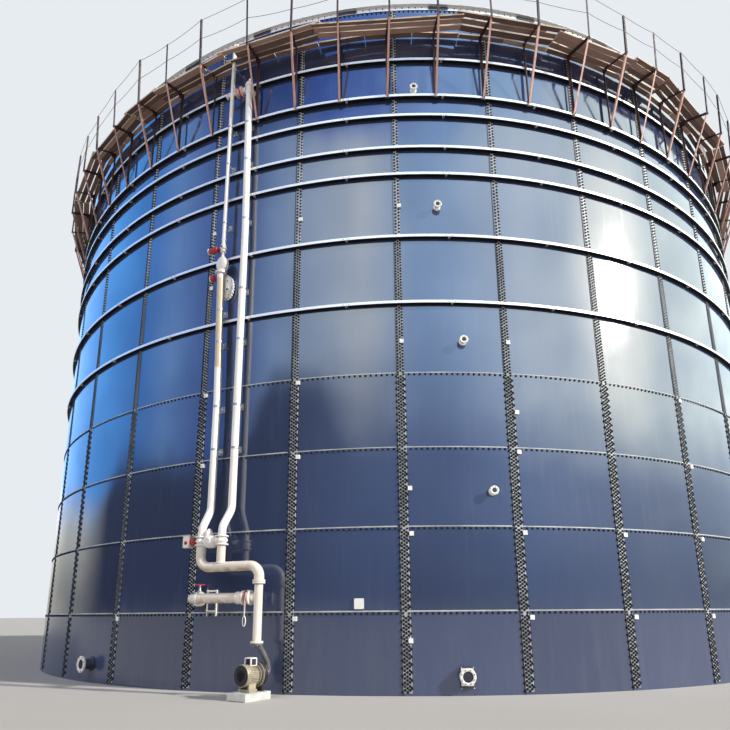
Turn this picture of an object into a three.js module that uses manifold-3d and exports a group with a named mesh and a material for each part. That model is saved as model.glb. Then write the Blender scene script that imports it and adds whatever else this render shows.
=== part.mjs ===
// A biogas digester: a round bolted steel tank with stiffener rings, a work
// platform on brackets, guard ropes, a low cone roof, and a pumped pipe loop.
// Millimetres, +Z up. The origin is the middle of the tank's underside, and
// vertical seam 0 stands on the -Y side. Angles are degrees from -Y towards +X.
import * as THREE from 'three';
import { mergeVertices } from 'three/addons/utils/BufferGeometryUtils.js';
import Module from 'manifold-3d';

const wasm = await Module();
wasm.setup();

// Tank wall
const panelCount = 34;
const panelWidth = 2000;
const courseCount = 10;
const courseHeight = 1420;
const bottomCourse = 1310;
const plateThickness = 10;
const panelsPerWallPiece = 3;
const wallPieces = 11;
const seatGap = 0.3;

const wallRadius = panelCount * panelWidth / (2 * Math.PI);
const wallHeight = bottomCourse + (courseCount - 1) * courseHeight;
const panelAngle = 360 / panelCount;
const facetAngle = panelAngle / 2;
const facetCount = panelCount * 2;
const facetDepth = wallRadius * Math.cos(THREE.MathUtils.degToRad(facetAngle / 2));

// Rings that stiffen the wall, at these heights in courses above seam 1
const ringCourses = [4, 5, 6, 6.45, 7, 8];
const bracketRingCourse = 7.34;
const ringReach = 75;
const ringDepth = 70;
const bracketRingReach = 85;

// Rim and roof
const rimReach = 60;
const rimDepth = 110;
const rimLap = 10;
const roofRise = 1000;
const roofThickness = 8;
const roofSides = 34;
const crownRadius = 700;
const crownHeight = 90;

// Floor
const floorThickness = 20;

// Work platform
const deckLevel = 13300;
const deckThickness = 40;
const deckInnerGap = 30;
const deckOuter = 11390;
const armReach = 11450;
const barSize = 45;
const bracketShift = -0.55;
const pipeBracket = -3;
const bracketFoot = 11760;
const postTop = 14360;
const postSize = 40;
const ropeSize = 12;
const ropeLap = 8;
const topRopeDrop = 40;
const midRopeShare = 0.5;
const platformPanels = [9, 8, 9, 8];
const firstPlatformPanel = -4;
const holeInner = 10935;
const holeOuter = 11250;
const holeStart = -21.0;
const holeEnd = -17.0;

// Pipework, in a frame on the wall facet that carries the risers: x to the
// right along the wall, out from the wall, and z up
const riserFacetAngle = -3.5 * facetAngle;
const leftRiserOut = 200;
const rightRiserOut = 160;
const manifoldOut = 415;
const riserSize = 140;
const thinSize = 88;
const mainSize = 170;
const dropSize = 142;
const leftRiserX = -20;
const thinRiserX = -75;
const rightRiserX = 400;
const dropX = 1180;
const manifoldLevel = 2100;
const jointLevel = 2560;
const branchLevel = 1570;
const branchLeftX = -230;
const leftRiserTop = 8065;
const leanStart = 5300;
const leftRiserLean = 90;
const slightTurn = 0.1;
const thinRiserTop = 13860;
const rightRiserTop = 12520;
const capRadius = 90;
const capTop = 12780;
const bendStart = 3150;
const pipeSides = 12;
const thinSides = 8;
const bendSteps = 4;
const flangeThickness = 24;
const mainFlange = 118;
const dropFlange = 108;
const dropFlangeDepth = 34;
const valveHalfHeight = 85;
const elbowDrop = 270;
const clampWidth = 50;
const clampThickness = 10;
const leftClampLevels = [4300, 5150, 6500, 7200];
const thinClampLevels = [9200, 10650, 11600];
const valveStack = 640;
const bodyX = -20;
const bodyLevel = 7745;
const bodyHalfWidth = 170;
const bodyHalfHeight = 275;
const bodyBack = 30;
const bodySides = 24;
const ballRadius = 55;
const ballRise = 548;
const discRise = 180;
const discRadius = 140;
const handleRadius = 66;
const stemRadius = 22;
const stemLength = 65;
const upperHandle = 305;
const lowerHandle = 170;
const lowerHandleDrop = 105;
const crossDrop = 35;
const bracketX = -40;
const bracketRise = 70;

// Pump, turned so that its motor points out from the wall and to the left
const pumpTurn = 14.3;
const pumpX = 1250;
const pumpOut = 383;
const pumpAxisLevel = 368;
const motorRadius = 170;
const motorLength = 320;
const terminalLevel = 567;
const casingRadius = 198;
const casingLength = 110;
const neckLength = 80;
const neckRadius = 75;
const bedHeight = 120;
const suctionSize = 95;
const suctionTop = 770;
const suctionKnee = 590;
const suctionRun = 100;
const suctionBend = 75;
const dropBottom = 840;

const degrees = THREE.MathUtils.degToRad;
const part = new THREE.Group();

function paint(color, roughness, metalness) {
  return { color, roughness, metalness };
}

const enamel = paint(0x111a33, 0.15, 0.0);
const galvanised = paint(0xc4c8cc, 0.45, 0.8);
const rustySteel = paint(0x6e3f35, 0.75, 0.2);
const timber = paint(0x7c5a45, 0.85, 0.0);
const roofSheet = paint(0x5f6a72, 0.5, 0.3);
const pipePaint = paint(0xe6e2d8, 0.4, 0.0);
const redPaint = paint(0xb01c2c, 0.4, 0.0);
const motorPaint = paint(0x24232a, 0.45, 0.1);
const castBody = paint(0x8d8466, 0.5, 0.3);
const greyBend = paint(0xa9aaa6, 0.5, 0.2);

function addMesh(parent, name, geometry, finish) {
  const mesh = new THREE.Mesh(geometry, new THREE.MeshStandardMaterial(finish));
  mesh.name = name;
  parent.add(mesh);
  return mesh;
}

// Solids and joins
function toSolid(geometry) {
  const bare = geometry.clone();
  bare.deleteAttribute('normal');
  bare.deleteAttribute('uv');
  const merged = mergeVertices(bare, 1e-3);
  const vertProperties = new Float32Array(merged.attributes.position.array);
  const triVerts = new Uint32Array(merged.index.array);
  return new wasm.Manifold(new wasm.Mesh({ numProp: 3, vertProperties, triVerts }));
}

function toGeometry(solid) {
  const mesh = solid.getMesh();
  const geometry = new THREE.BufferGeometry();
  geometry.setAttribute('position', new THREE.BufferAttribute(mesh.vertProperties, 3));
  geometry.setIndex(new THREE.BufferAttribute(mesh.triVerts, 1));
  geometry.computeVertexNormals();
  return geometry;
}

function fuse(geometries) {
  let joined = toSolid(geometries[0]);
  for (const geometry of geometries.slice(1)) {
    joined = joined.add(toSolid(geometry));
  }
  return toGeometry(joined);
}

// Outlines in plan
function planPoint(radius, angle) {
  const turn = degrees(angle);
  return new THREE.Vector2(radius * Math.sin(turn), -radius * Math.cos(turn));
}

function facetAngles(start, end, step) {
  const steps = Math.round((end - start) / step);
  return Array.from({ length: steps + 1 }, (_, i) => start + (end - start) * i / steps);
}

function arcPlate(inner, outer, angles, bottom, height, endScale = 1, hole = null) {
  const last = angles.length - 1;
  const scale = (i) => (i === 0 || i === last ? endScale : 1);
  const outside = angles.map((angle, i) => planPoint(outer * scale(i), angle));
  const inside = angles.map((angle, i) => planPoint(inner * scale(i), angle)).reverse();
  const shape = new THREE.Shape([...outside, ...inside]);
  if (hole) {
    shape.holes.push(new THREE.Path(hole));
  }
  const geometry = new THREE.ExtrudeGeometry(shape, { depth: height, bevelEnabled: false });
  return geometry.translate(0, 0, bottom);
}

function fullRing(inner, outer, bottom, height, sides, firstAngle) {
  const profile = [
    new THREE.Vector2(inner, bottom),
    new THREE.Vector2(outer, bottom),
    new THREE.Vector2(outer, bottom + height),
    new THREE.Vector2(inner, bottom + height),
    new THREE.Vector2(inner, bottom),
  ];
  return turned(profile, sides, firstAngle);
}

function turned(profile, sides, firstAngle) {
  const geometry = new THREE.LatheGeometry(profile, sides);
  geometry.rotateX(Math.PI / 2);
  return geometry.rotateZ(degrees(firstAngle));
}

// Wall and floor
function seamLevel(course) {
  return bottomCourse + course * courseHeight;
}

function addWall() {
  const endGap = THREE.MathUtils.radToDeg(seatGap / 2 / wallRadius);
  for (let piece = 0; piece < wallPieces; piece += 1) {
    const first = piece * panelsPerWallPiece;
    const last = piece === wallPieces - 1 ? panelCount : first + panelsPerWallPiece;
    const angles = facetAngles(first * panelAngle, last * panelAngle, facetAngle);
    angles[0] += endGap;
    angles[angles.length - 1] -= endGap;
    const inner = wallRadius - plateThickness;
    const geometry = arcPlate(inner, wallRadius, angles, 0, wallHeight);
    addMesh(part, `wall_${String(piece + 1).padStart(2, '0')}`, geometry, enamel);
  }
}

function addFloor() {
  const inner = wallRadius - plateThickness - seatGap;
  const outline = facetAngles(0, 360 - facetAngle, facetAngle).map((angle) => planPoint(inner, angle));
  const shape = new THREE.Shape(outline);
  const floor = new THREE.ExtrudeGeometry(shape, { depth: floorThickness, bevelEnabled: false });
  addMesh(part, 'floor_plate', floor, enamel);
}

// Rings, rim and roof
function addRings() {
  ringCourses.forEach((course, i) => {
    const bottom = seamLevel(course) - ringDepth / 2;
    const inner = wallRadius + seatGap;
    const ring = fullRing(inner, wallRadius + ringReach, bottom, ringDepth, facetCount, 0);
    addMesh(part, `stiffener_ring_${i + 1}`, ring, galvanised);
  });
}

function addRimAndRoof() {
  const rimBottom = wallHeight - rimLap;
  const rim = fullRing(wallRadius + seatGap, wallRadius + rimReach, rimBottom, rimDepth, facetCount, 0);
  addMesh(part, 'top_rim', rim, galvanised);
  const edge = wallRadius + rimReach - 5;
  const roofBottom = rimBottom + rimDepth + seatGap;
  const slope = roofRise / edge;
  const crownUnder = roofBottom + (edge - crownRadius + 100) * slope;
  const profile = [
    new THREE.Vector2(edge, roofBottom),
    new THREE.Vector2(edge, roofBottom + roofThickness),
    new THREE.Vector2(crownRadius - 100, crownUnder + roofThickness),
    new THREE.Vector2(crownRadius - 100, crownUnder),
    new THREE.Vector2(edge, roofBottom),
  ];
  addMesh(part, 'roof_cone', turned(profile, roofSides, 0), roofSheet);
  const crownBottom = roofBottom + roofThickness + (edge - (crownRadius - 100)) * slope + seatGap;
  const crown = new THREE.CylinderGeometry(crownRadius - 60, crownRadius, crownHeight, roofSides / 2);
  crown.rotateX(Math.PI / 2).translate(0, 0, crownBottom + crownHeight / 2);
  addMesh(part, 'roof_crown', crown, roofSheet);
}

// Platform
function bracketAngle(index) {
  if (index === pipeBracket) {
    return index * facetAngle;
  }
  return index * facetAngle + bracketShift;
}

// Turns a shape drawn as reach and height so that it stands in a bracket's plane
function inBracketPlane(shape, index) {
  const bar = new THREE.ExtrudeGeometry(shape, { depth: barSize, bevelEnabled: false });
  bar.translate(0, 0, -barSize / 2);
  const turn = degrees(bracketAngle(index));
  const out = new THREE.Vector3(Math.sin(turn), -Math.cos(turn), 0);
  const up = new THREE.Vector3(0, 0, 1);
  const side = new THREE.Vector3().crossVectors(out, up);
  return bar.applyMatrix4(new THREE.Matrix4().makeBasis(out, up, side));
}

function bracketFrame(index) {
  const legInner = wallRadius + ringReach + 1;
  const shape = new THREE.Shape([
    new THREE.Vector2(legInner, bracketFoot - barSize),
    new THREE.Vector2(legInner, deckLevel),
    new THREE.Vector2(armReach, deckLevel),
    new THREE.Vector2(armReach, deckLevel - barSize),
    new THREE.Vector2(legInner + barSize, bracketFoot - barSize),
  ]);
  const run = armReach - legInner - barSize;
  const rise = deckLevel - bracketFoot;
  const strutSlope = rise / run;
  const strutCover = barSize * Math.hypot(1, strutSlope);
  const innerX = legInner + barSize;
  const topZ = deckLevel - barSize;
  const cornerZ = bracketFoot - barSize + strutCover;
  const cornerX = innerX + (topZ - cornerZ) / strutSlope;
  shape.holes.push(new THREE.Path([
    new THREE.Vector2(innerX, cornerZ),
    new THREE.Vector2(cornerX, topZ),
    new THREE.Vector2(innerX, topZ),
  ]));
  return inBracketPlane(shape, index);
}

function guardPost(index) {
  const foot = deckLevel + seatGap;
  const shape = new THREE.Shape([
    new THREE.Vector2(armReach - postSize, foot),
    new THREE.Vector2(armReach, foot),
    new THREE.Vector2(armReach, postTop),
    new THREE.Vector2(armReach - postSize, postTop),
  ]);
  return inBracketPlane(shape, index);
}

function addPlatform() {
  const ringBottom = seamLevel(bracketRingCourse) - ringDepth / 2;
  const endGap = THREE.MathUtils.radToDeg(seatGap / 2 / wallRadius);
  let firstPanel = firstPlatformPanel;
  platformPanels.forEach((panels, i) => {
    const start = (firstPanel - 0.25) * panelAngle;
    const end = (firstPanel + panels - 0.25) * panelAngle;
    const inside = facetAngles(firstPanel * panelAngle, (firstPanel + panels - 0.5) * panelAngle, facetAngle);
    const angles = [start + endGap, ...inside, end - endGap];
    const endScale = Math.cos(degrees(facetAngle / 2));
    const letter = 'abcd'[i];
    const ringOuter = wallRadius + bracketRingReach;
    const ring = arcPlate(wallRadius + seatGap, ringOuter, angles, ringBottom, ringDepth, endScale);
    const frames = [];
    for (let index = firstPanel * 2; index < (firstPanel + panels) * 2; index += 1) {
      frames.push(bracketFrame(index));
    }
    addMesh(part, `bracket_ring_${letter}`, fuse([ring, ...frames]), rustySteel);
    const hole = i === 0 ? deckHole() : null;
    const deckInner = wallRadius + deckInnerGap;
    const deckBottom = deckLevel + seatGap;
    const deck = arcPlate(deckInner, deckOuter, angles, deckBottom, deckThickness, endScale, hole);
    addMesh(part, `deck_${letter}`, deck, timber);
    firstPanel += panels;
  });
}

function deckHole() {
  return [
    planPoint(holeInner, holeStart),
    planPoint(holeOuter, holeStart),
    planPoint(holeOuter, holeEnd),
    planPoint(holeInner, holeEnd),
  ];
}

// Posts on the brackets' outer ends, with two wire ropes through them
function addGuardRails() {
  const ropeInner = armReach - ropeLap;
  const ropeOuter = ropeInner + ropeSize;
  const ropeLevels = [postTop - topRopeDrop, deckLevel + (postTop - deckLevel) * midRopeShare];
  const endScale = Math.cos(degrees(facetAngle / 2));
  const endGap = THREE.MathUtils.radToDeg(seatGap / 2 / armReach);
  let first = firstPlatformPanel * 2;
  platformPanels.forEach((panels, i) => {
    const end = first + panels * 2;
    const inside = facetAngles(first, end - 1, 1).map((index) => index * facetAngle + bracketShift);
    const startAngle = (first - 0.5) * facetAngle + bracketShift + endGap;
    const endAngle = (end - 0.5) * facetAngle + bracketShift - endGap;
    const angles = [startAngle, ...inside, endAngle];
    const ropes = ropeLevels.map((level) => (
      arcPlate(ropeInner, ropeOuter, angles, level, ropeSize, endScale)
    ));
    const posts = [];
    for (let index = first; index < end; index += 1) {
      posts.push(guardPost(index));
    }
    addMesh(part, `guard_rail_${'abcd'[i]}`, fuse([...posts, ...ropes]), rustySteel);
    first = end;
  });
}

// Pipes
function at(x, out, z) {
  return new THREE.Vector3(x, -out, z);
}

// A run of pipe: straight stretches with round bends at the inner points
class PipeRun extends THREE.Curve {
  constructor(points, bendRadius) {
    super();
    this.stations = [];
    const last = points.length - 1;
    points.forEach((point, i) => {
      if (i === 0 || i === last) {
        const other = i === 0 ? points[1] : points[last - 1];
        const away = new THREE.Vector3().subVectors(other, point).normalize();
        this.stations.push({ point, tangent: i === 0 ? away : away.negate() });
        return;
      }
      this.addBend(points[i - 1], point, points[i + 1], bendRadius);
    });
  }

  addBend(before, corner, after, bendRadius) {
    const arriving = new THREE.Vector3().subVectors(corner, before).normalize();
    const leaving = new THREE.Vector3().subVectors(after, corner).normalize();
    const turn = arriving.angleTo(leaving);
    if (turn < slightTurn) {
      this.stations.push({ point: corner, tangent: arriving.add(leaving).normalize() });
      return;
    }
    const setback = bendRadius * Math.tan(turn / 2);
    const start = corner.clone().addScaledVector(arriving, -setback);
    const across = leaving.clone().addScaledVector(arriving, -Math.cos(turn)).normalize();
    for (let step = 0; step <= bendSteps; step += 1) {
      const angle = turn * step / bendSteps;
      const point = start.clone();
      point.addScaledVector(arriving, bendRadius * Math.sin(angle));
      point.addScaledVector(across, bendRadius * (1 - Math.cos(angle)));
      const tangent = arriving.clone().multiplyScalar(Math.cos(angle));
      tangent.addScaledVector(across, Math.sin(angle));
      this.stations.push({ point, tangent });
    }
  }

  getPointAt(share, target = new THREE.Vector3()) {
    return target.copy(this.stations[Math.round(share * (this.stations.length - 1))].point);
  }

  getTangentAt(share, target = new THREE.Vector3()) {
    return target.copy(this.stations[Math.round(share * (this.stations.length - 1))].tangent);
  }
}

function roundOutline(radius, sides) {
  const shape = new THREE.Shape();
  for (let i = 0; i < sides; i += 1) {
    const turn = (i + 0.5) * 2 * Math.PI / sides;
    const place = [radius * Math.cos(turn), radius * Math.sin(turn)];
    if (i === 0) {
      shape.moveTo(...place);
    } else {
      shape.lineTo(...place);
    }
  }
  return shape;
}

function pipe(points, size, bendRadius = size * 1.2, sides = pipeSides) {
  const run = new PipeRun(points, bendRadius);
  const steps = run.stations.length - 1;
  const outline = roundOutline(size / 2, sides);
  return new THREE.ExtrudeGeometry(outline, { steps, bevelEnabled: false, extrudePath: run });
}

function rod(from, to, radius, sides = pipeSides) {
  return pipe([from, to], radius * 2, 1, sides);
}

function acrossRod(left, right, out, z, radius, sides) {
  return rod(at(left, out, z), at(right, out, z), radius, sides);
}

function uprightRod(x, out, bottom, top, radius, sides) {
  return rod(at(x, out, bottom), at(x, out, top), radius, sides);
}

function outwardRod(x, start, end, z, radius, sides) {
  return rod(at(x, start, z), at(x, end, z), radius, sides);
}

// How far the flat sides of a pipe or rod lie from its axis
function flatReach(radius, sides = pipeSides) {
  return radius * Math.cos(Math.PI / sides);
}

function block(center, x, out, z) {
  return new THREE.BoxGeometry(x, out, z).translate(center.x, center.y, center.z);
}

function wallClamp(x, level, pipeOut) {
  return block(at(x, pipeOut / 2 + seatGap / 2, level), clampWidth, pipeOut - seatGap, clampThickness);
}

function addPipework() {
  const group = new THREE.Group();
  group.rotation.z = degrees(riserFacetAngle);
  const foot = planPoint(facetDepth, riserFacetAngle);
  group.position.set(foot.x, foot.y, 0);
  part.add(group);

  addLeftRiser(group);
  addThinRiser(group);
  addRightRiser(group);
  addRiserValves(group);
  addManifold(group);
  addDropAndBranch(group);
  addPump(group);
}

// The left riser leans to the left above a certain level
function leftRiserAt(level) {
  const share = Math.max(0, (level - leanStart) / (leftRiserTop - leanStart));
  return leftRiserX - leftRiserLean * share;
}

function addLeftRiser(group) {
  const pipeTop = leftRiserTop - flangeThickness;
  const line = pipe([
    at(leftRiserAt(pipeTop), leftRiserOut, pipeTop),
    at(leftRiserX, leftRiserOut, leanStart),
    at(leftRiserX, leftRiserOut, bendStart),
    at(leftRiserX, manifoldOut, jointLevel + 240),
    at(leftRiserX, manifoldOut, jointLevel + valveHalfHeight),
  ], riserSize, 150);
  const flangeX = leftRiserAt(leftRiserTop);
  const topFlange = uprightRod(flangeX, leftRiserOut, leftRiserTop - 40, leftRiserTop, 115);
  const clamps = leftClampLevels.map((level) => wallClamp(leftRiserAt(level), level, leftRiserOut));
  addMesh(group, 'left_riser', fuse([line, topFlange, ...clamps]), pipePaint);
}

function addThinRiser(group) {
  const line = pipe([
    at(thinRiserX, leftRiserOut, leftRiserTop + valveStack),
    at(thinRiserX, leftRiserOut, thinRiserTop),
    at(thinRiserX, seatGap, thinRiserTop),
  ], thinSize, 80, thinSides);
  const clamps = thinClampLevels.map((level) => wallClamp(thinRiserX, level, leftRiserOut));
  const teeLevel = thinRiserTop - 70;
  const topTee = acrossRod(thinRiserX - 90, thinRiserX + 90, leftRiserOut, teeLevel, 45, thinSides);
  addMesh(group, 'thin_riser', fuse([line, topTee, ...clamps]), pipePaint);
}

function addRightRiser(group) {
  const capFoot = rightRiserTop + 40;
  const line = pipe([
    at(rightRiserX, rightRiserOut, capFoot + 20),
    at(rightRiserX, rightRiserOut, bendStart),
    at(rightRiserX, manifoldOut, jointLevel + 240),
    at(rightRiserX, manifoldOut, jointLevel + valveHalfHeight),
  ], riserSize, 120);
  const wallStub = outwardRod(rightRiserX, seatGap, rightRiserOut, rightRiserTop, riserSize / 2 - 2);
  const wallFlange = outwardRod(rightRiserX, seatGap, 26, rightRiserTop, 85);
  const collar = uprightRod(rightRiserX, rightRiserOut, capFoot, capFoot + 60, capRadius);
  const dome = new THREE.CylinderGeometry(40, capRadius, 110, pipeSides, 1, false, Math.PI / pipeSides);
  const domeMiddle = at(rightRiserX, rightRiserOut, capFoot + 60 + 55);
  dome.rotateX(Math.PI / 2).translate(domeMiddle.x, domeMiddle.y, domeMiddle.z);
  const knob = uprightRod(rightRiserX, rightRiserOut, capTop - 70, capTop, stemRadius);
  const levels = [...leftClampLevels, ...thinClampLevels];
  const clamps = levels.map((level) => wallClamp(rightRiserX, level, rightRiserOut));
  addMesh(group, 'right_riser', fuse([line, wallStub, wallFlange, collar, dome, knob, ...clamps]), pipePaint);
}

function addRiserValves(group) {
  const out = leftRiserOut;

  // Reducer, check disc and ball valve between the left and the thin riser
  const base = leftRiserTop + seatGap;
  const ballLevel = base + ballRise;
  const discLevel = base + discRise;
  const neckTop = leftRiserTop + valveStack - seatGap;
  const neck = uprightRod(thinRiserX, out, base + 30, neckTop, 30, thinSides);
  const reducerX = (leftRiserAt(base) + thinRiserX) / 2;
  const reducer = uprightRod(reducerX, out, base, base + 50, 100);
  const discFront = at(thinRiserX - 20, out + 60, discLevel);
  const disc = rod(discFront, at(thinRiserX + 5, out - 60, discLevel), discRadius);
  const ball = uprightRod(thinRiserX, out, ballLevel - 45, ballLevel + 45, ballRadius);
  addMesh(group, 'riser_check_valve', fuse([reducer, neck, disc, ball]), pipePaint);

  const ballLeft = thinRiserX - flatReach(ballRadius) - seatGap;
  const lean = Math.atan2(leftRiserLean, leftRiserTop - leanStart);
  const lowerLevel = leftRiserTop - lowerHandleDrop;
  const riserReach = flatReach(riserSize / 2) / Math.cos(lean);
  const riserLeft = leftRiserAt(lowerLevel + stemRadius) - riserReach - seatGap;
  addRedHandle(group, 'upper_red_valve', ballLeft, out, ballLevel, upperHandle);
  addRedHandle(group, 'lower_red_valve', riserLeft, out, lowerLevel, lowerHandle);

  // The round white body that sits between the left riser and the wall
  const bodyFront = out - flatReach(riserSize / 2) - seatGap;
  const outline = Array.from({ length: bodySides }, (_, i) => {
    const turn = 2 * Math.PI * i / bodySides;
    return new THREE.Vector2(bodyX + bodyHalfWidth * Math.cos(turn), bodyLevel + bodyHalfHeight * Math.sin(turn));
  });
  const settings = { depth: bodyFront - bodyBack, bevelEnabled: false };
  const body = new THREE.ExtrudeGeometry(new THREE.Shape(outline), settings);
  body.rotateX(Math.PI / 2).translate(0, -bodyBack, 0);
  addMesh(group, 'round_valve_body', body, pipePaint);

  // The cross line with its valve near the top
  const crossLevel = rightRiserTop - crossDrop;
  const thinFlat = flatReach(thinSize / 2, thinSides);
  const crossLeft = thinRiserX + thinFlat + seatGap;
  const crossRight = rightRiserX - flatReach(riserSize / 2) - seatGap;
  const crossOut = (leftRiserOut + rightRiserOut) / 2;
  const crossBody = acrossRod(crossLeft, crossRight, crossOut, crossLevel, 60);
  const flangeA = acrossRod(crossLeft + 60, crossLeft + 90, crossOut, crossLevel, 100);
  const flangeB = acrossRod(crossRight - 110, crossRight - 70, crossOut, crossLevel, 100);
  addMesh(group, 'cross_line_valve', fuse([crossBody, flangeA, flangeB]), redPaint);
  const sideRight = thinRiserX - thinFlat - seatGap;
  const sideStub = acrossRod(sideRight, sideRight - 110, out, crossLevel, 32, thinSides);
  const sideFlange = acrossRod(sideRight - 80, sideRight - 110, out, crossLevel, 62);
  addMesh(group, 'side_stub', fuse([sideStub, sideFlange]), pipePaint);
}

function addRedHandle(group, name, right, out, level, length) {
  const stem = acrossRod(right, right - stemLength, out, level, stemRadius, thinSides);
  const handle = acrossRod(right - stemLength + 10, right - length, out, level, handleRadius);
  addMesh(group, name, fuse([stem, handle]), redPaint);
}

function addManifold(group) {
  const legTop = jointLevel - valveHalfHeight;
  const line = pipe([
    at(leftRiserX, manifoldOut, legTop),
    at(leftRiserX, manifoldOut, manifoldLevel),
    at(dropX, manifoldOut, manifoldLevel),
    at(dropX, manifoldOut, manifoldLevel - elbowDrop),
  ], mainSize, 190);
  const rightLeg = uprightRod(rightRiserX, manifoldOut, manifoldLevel, legTop, riserSize / 2 + 6);
  const elbowEnd = manifoldLevel - elbowDrop;
  const endFlange = uprightRod(dropX, manifoldOut, elbowEnd, elbowEnd + dropFlangeDepth, dropFlange);
  addMesh(group, 'manifold_pipe', fuse([line, rightLeg, endFlange]), pipePaint);

  // The flanged valves between the risers' feet and the manifold
  const valveBottom = legTop + seatGap;
  const valveTop = jointLevel + valveHalfHeight - seatGap;
  const left = uprightRod(leftRiserX, manifoldOut, valveBottom, valveTop, mainFlange);
  const right = uprightRod(rightRiserX, manifoldOut, valveBottom, valveTop, mainFlange);
  const bridge = acrossRod(leftRiserX, rightRiserX, manifoldOut, jointLevel, 72);
  addMesh(group, 'manifold_valves', fuse([left, right, bridge]), pipePaint);

  const actuatorX = leftRiserX - flatReach(mainFlange) - seatGap;
  const red = acrossRod(actuatorX, actuatorX - 110, manifoldOut, jointLevel, 75);
  const box = block(at(actuatorX - 180, manifoldOut, jointLevel), 150, 130, 210);
  addMesh(group, 'actuator', fuse([red, box]), redPaint);
}

function addDropAndBranch(group) {
  const dropTop = manifoldLevel - elbowDrop - seatGap;
  const drop = uprightRod(dropX, manifoldOut, dropTop, dropBottom, dropSize / 2);
  const upper = uprightRod(dropX, manifoldOut, dropTop - dropFlangeDepth, dropTop, dropFlange);
  const lower = uprightRod(dropX, manifoldOut, dropBottom, dropBottom + dropFlangeDepth, dropFlange);
  const stubEnd = dropX - 130;
  const stub = acrossRod(stubEnd, dropX, manifoldOut, branchLevel, mainSize / 2 - 12);
  addMesh(group, 'drop_pipe', fuse([drop, upper, lower, stub]), pipePaint);

  const valveRight = stubEnd - seatGap;
  const valveLeft = valveRight - 150;
  const valve = acrossRod(valveLeft, valveRight, manifoldOut, branchLevel, 125);
  const lever = block(at(valveRight - 60, manifoldOut + 115, branchLevel - 190), 36, 24, 400);
  addMesh(group, 'branch_valve', fuse([valve, lever]), redPaint);

  const branchRight = valveLeft - seatGap;
  const branch = pipe([
    at(branchRight, manifoldOut, branchLevel),
    at(branchLeftX, manifoldOut, branchLevel),
    at(branchLeftX, 190, branchLevel),
  ], mainSize, 180);
  const flange = acrossRod(branchRight - 130, branchRight, manifoldOut, branchLevel, mainFlange);
  const bracketLevel = branchLevel + bracketRise;
  const clamp = block(at(bracketX, manifoldOut / 2, bracketLevel), 60, manifoldOut - 2 * seatGap, 30);
  addMesh(group, 'branch_pipe', fuse([branch, flange, clamp]), pipePaint);

  const outlet = outwardRod(branchLeftX, seatGap, 190 - seatGap, branchLevel, 90);
  const gate = outwardRod(branchLeftX, 60, 150, branchLevel, 130);
  const stem = uprightRod(branchLeftX, 105, branchLevel, branchLevel + 260, 30, thinSides);
  const wheel = uprightRod(branchLeftX, 105, branchLevel + 240, branchLevel + 262, 95);
  addMesh(group, 'outlet_valve', fuse([outlet, gate, stem, wheel]), redPaint);
}

// Pump
function addPump(group) {
  const turn = degrees(pumpTurn);
  const pump = new THREE.Group();
  pump.position.copy(at(pumpX, pumpOut, 0));
  pump.rotation.z = -turn;
  group.add(pump);
  const axisAt = (out) => at(0, out, pumpAxisLevel);

  const casing = rod(axisAt(0), axisAt(casingLength), casingRadius, 16);
  const neck = rod(axisAt(-neckLength), axisAt(casingLength / 2), neckRadius);
  const footHeight = pumpAxisLevel - casingRadius / 2 - bedHeight;
  const footLevel = bedHeight + seatGap + footHeight / 2;
  const casingFoot = block(at(0, casingLength / 2, footLevel), 240, 60, footHeight);
  addMesh(pump, 'pump_casing', fuse([casing, neck, casingFoot]), castBody);

  const motorStart = casingLength + seatGap;
  const motorMiddle = motorStart + motorLength / 2;
  const motor = rod(axisAt(motorStart), axisAt(motorStart + motorLength), motorRadius, 16);
  const motorFoot = block(at(0, motorMiddle, footLevel), 260, 180, footHeight);
  const terminalBox = block(at(0, motorStart + 110, terminalLevel), 150, 140, 130);
  addMesh(pump, 'pump_motor', fuse([motor, motorFoot, terminalBox]), motorPaint);

  const bedLength = casingLength + motorLength + 120;
  const bed = block(at(0, bedLength / 2 - 40, bedHeight / 2), 420, bedLength, bedHeight);
  addMesh(pump, 'pump_bed', bed, galvanised);

  // The line from the drop pipe slants back to the right, then turns into the pump's neck
  const back = at(Math.sin(turn), -Math.cos(turn), 0);
  const neckEnd = at(pumpX, pumpOut, pumpAxisLevel).addScaledVector(back, neckLength + seatGap);
  const lowCorner = neckEnd.clone().addScaledVector(back, suctionRun);
  const knee = lowCorner.clone().setZ(suctionKnee);
  const dropEnd = at(dropX, manifoldOut, dropBottom - seatGap);
  const bend = pipe([
    neckEnd,
    lowCorner,
    knee,
    at(dropX, manifoldOut, suctionTop),
    dropEnd,
  ], suctionSize, suctionBend, 10);
  const neckFlange = rod(neckEnd, neckEnd.clone().addScaledVector(back, flangeThickness), 90);
  const upperFlange = rod(dropEnd, at(dropX, manifoldOut, dropBottom - dropFlangeDepth), dropFlange);
  addMesh(group, 'suction_bend', fuse([bend, neckFlange, upperFlange]), greyBend);
}

// Flanged ports on the wall
function addPort(name, angle, level, stubRadius, stubLength, flangeRadius) {
  const facet = (Math.floor(angle / facetAngle) + 0.5) * facetAngle;
  const group = new THREE.Group();
  group.rotation.z = degrees(facet);
  const foot = planPoint(facetDepth, facet);
  group.position.set(foot.x, foot.y, 0);
  part.add(group);
  const x = facetDepth * Math.tan(degrees(angle - facet));
  const stub = outwardRod(x, seatGap, stubLength, level, stubRadius);
  const flange = outwardRod(x, stubLength - flangeThickness, stubLength, level, flangeRadius, 16);
  addMesh(group, name, fuse([stub, flange]), pipePaint);
}

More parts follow.
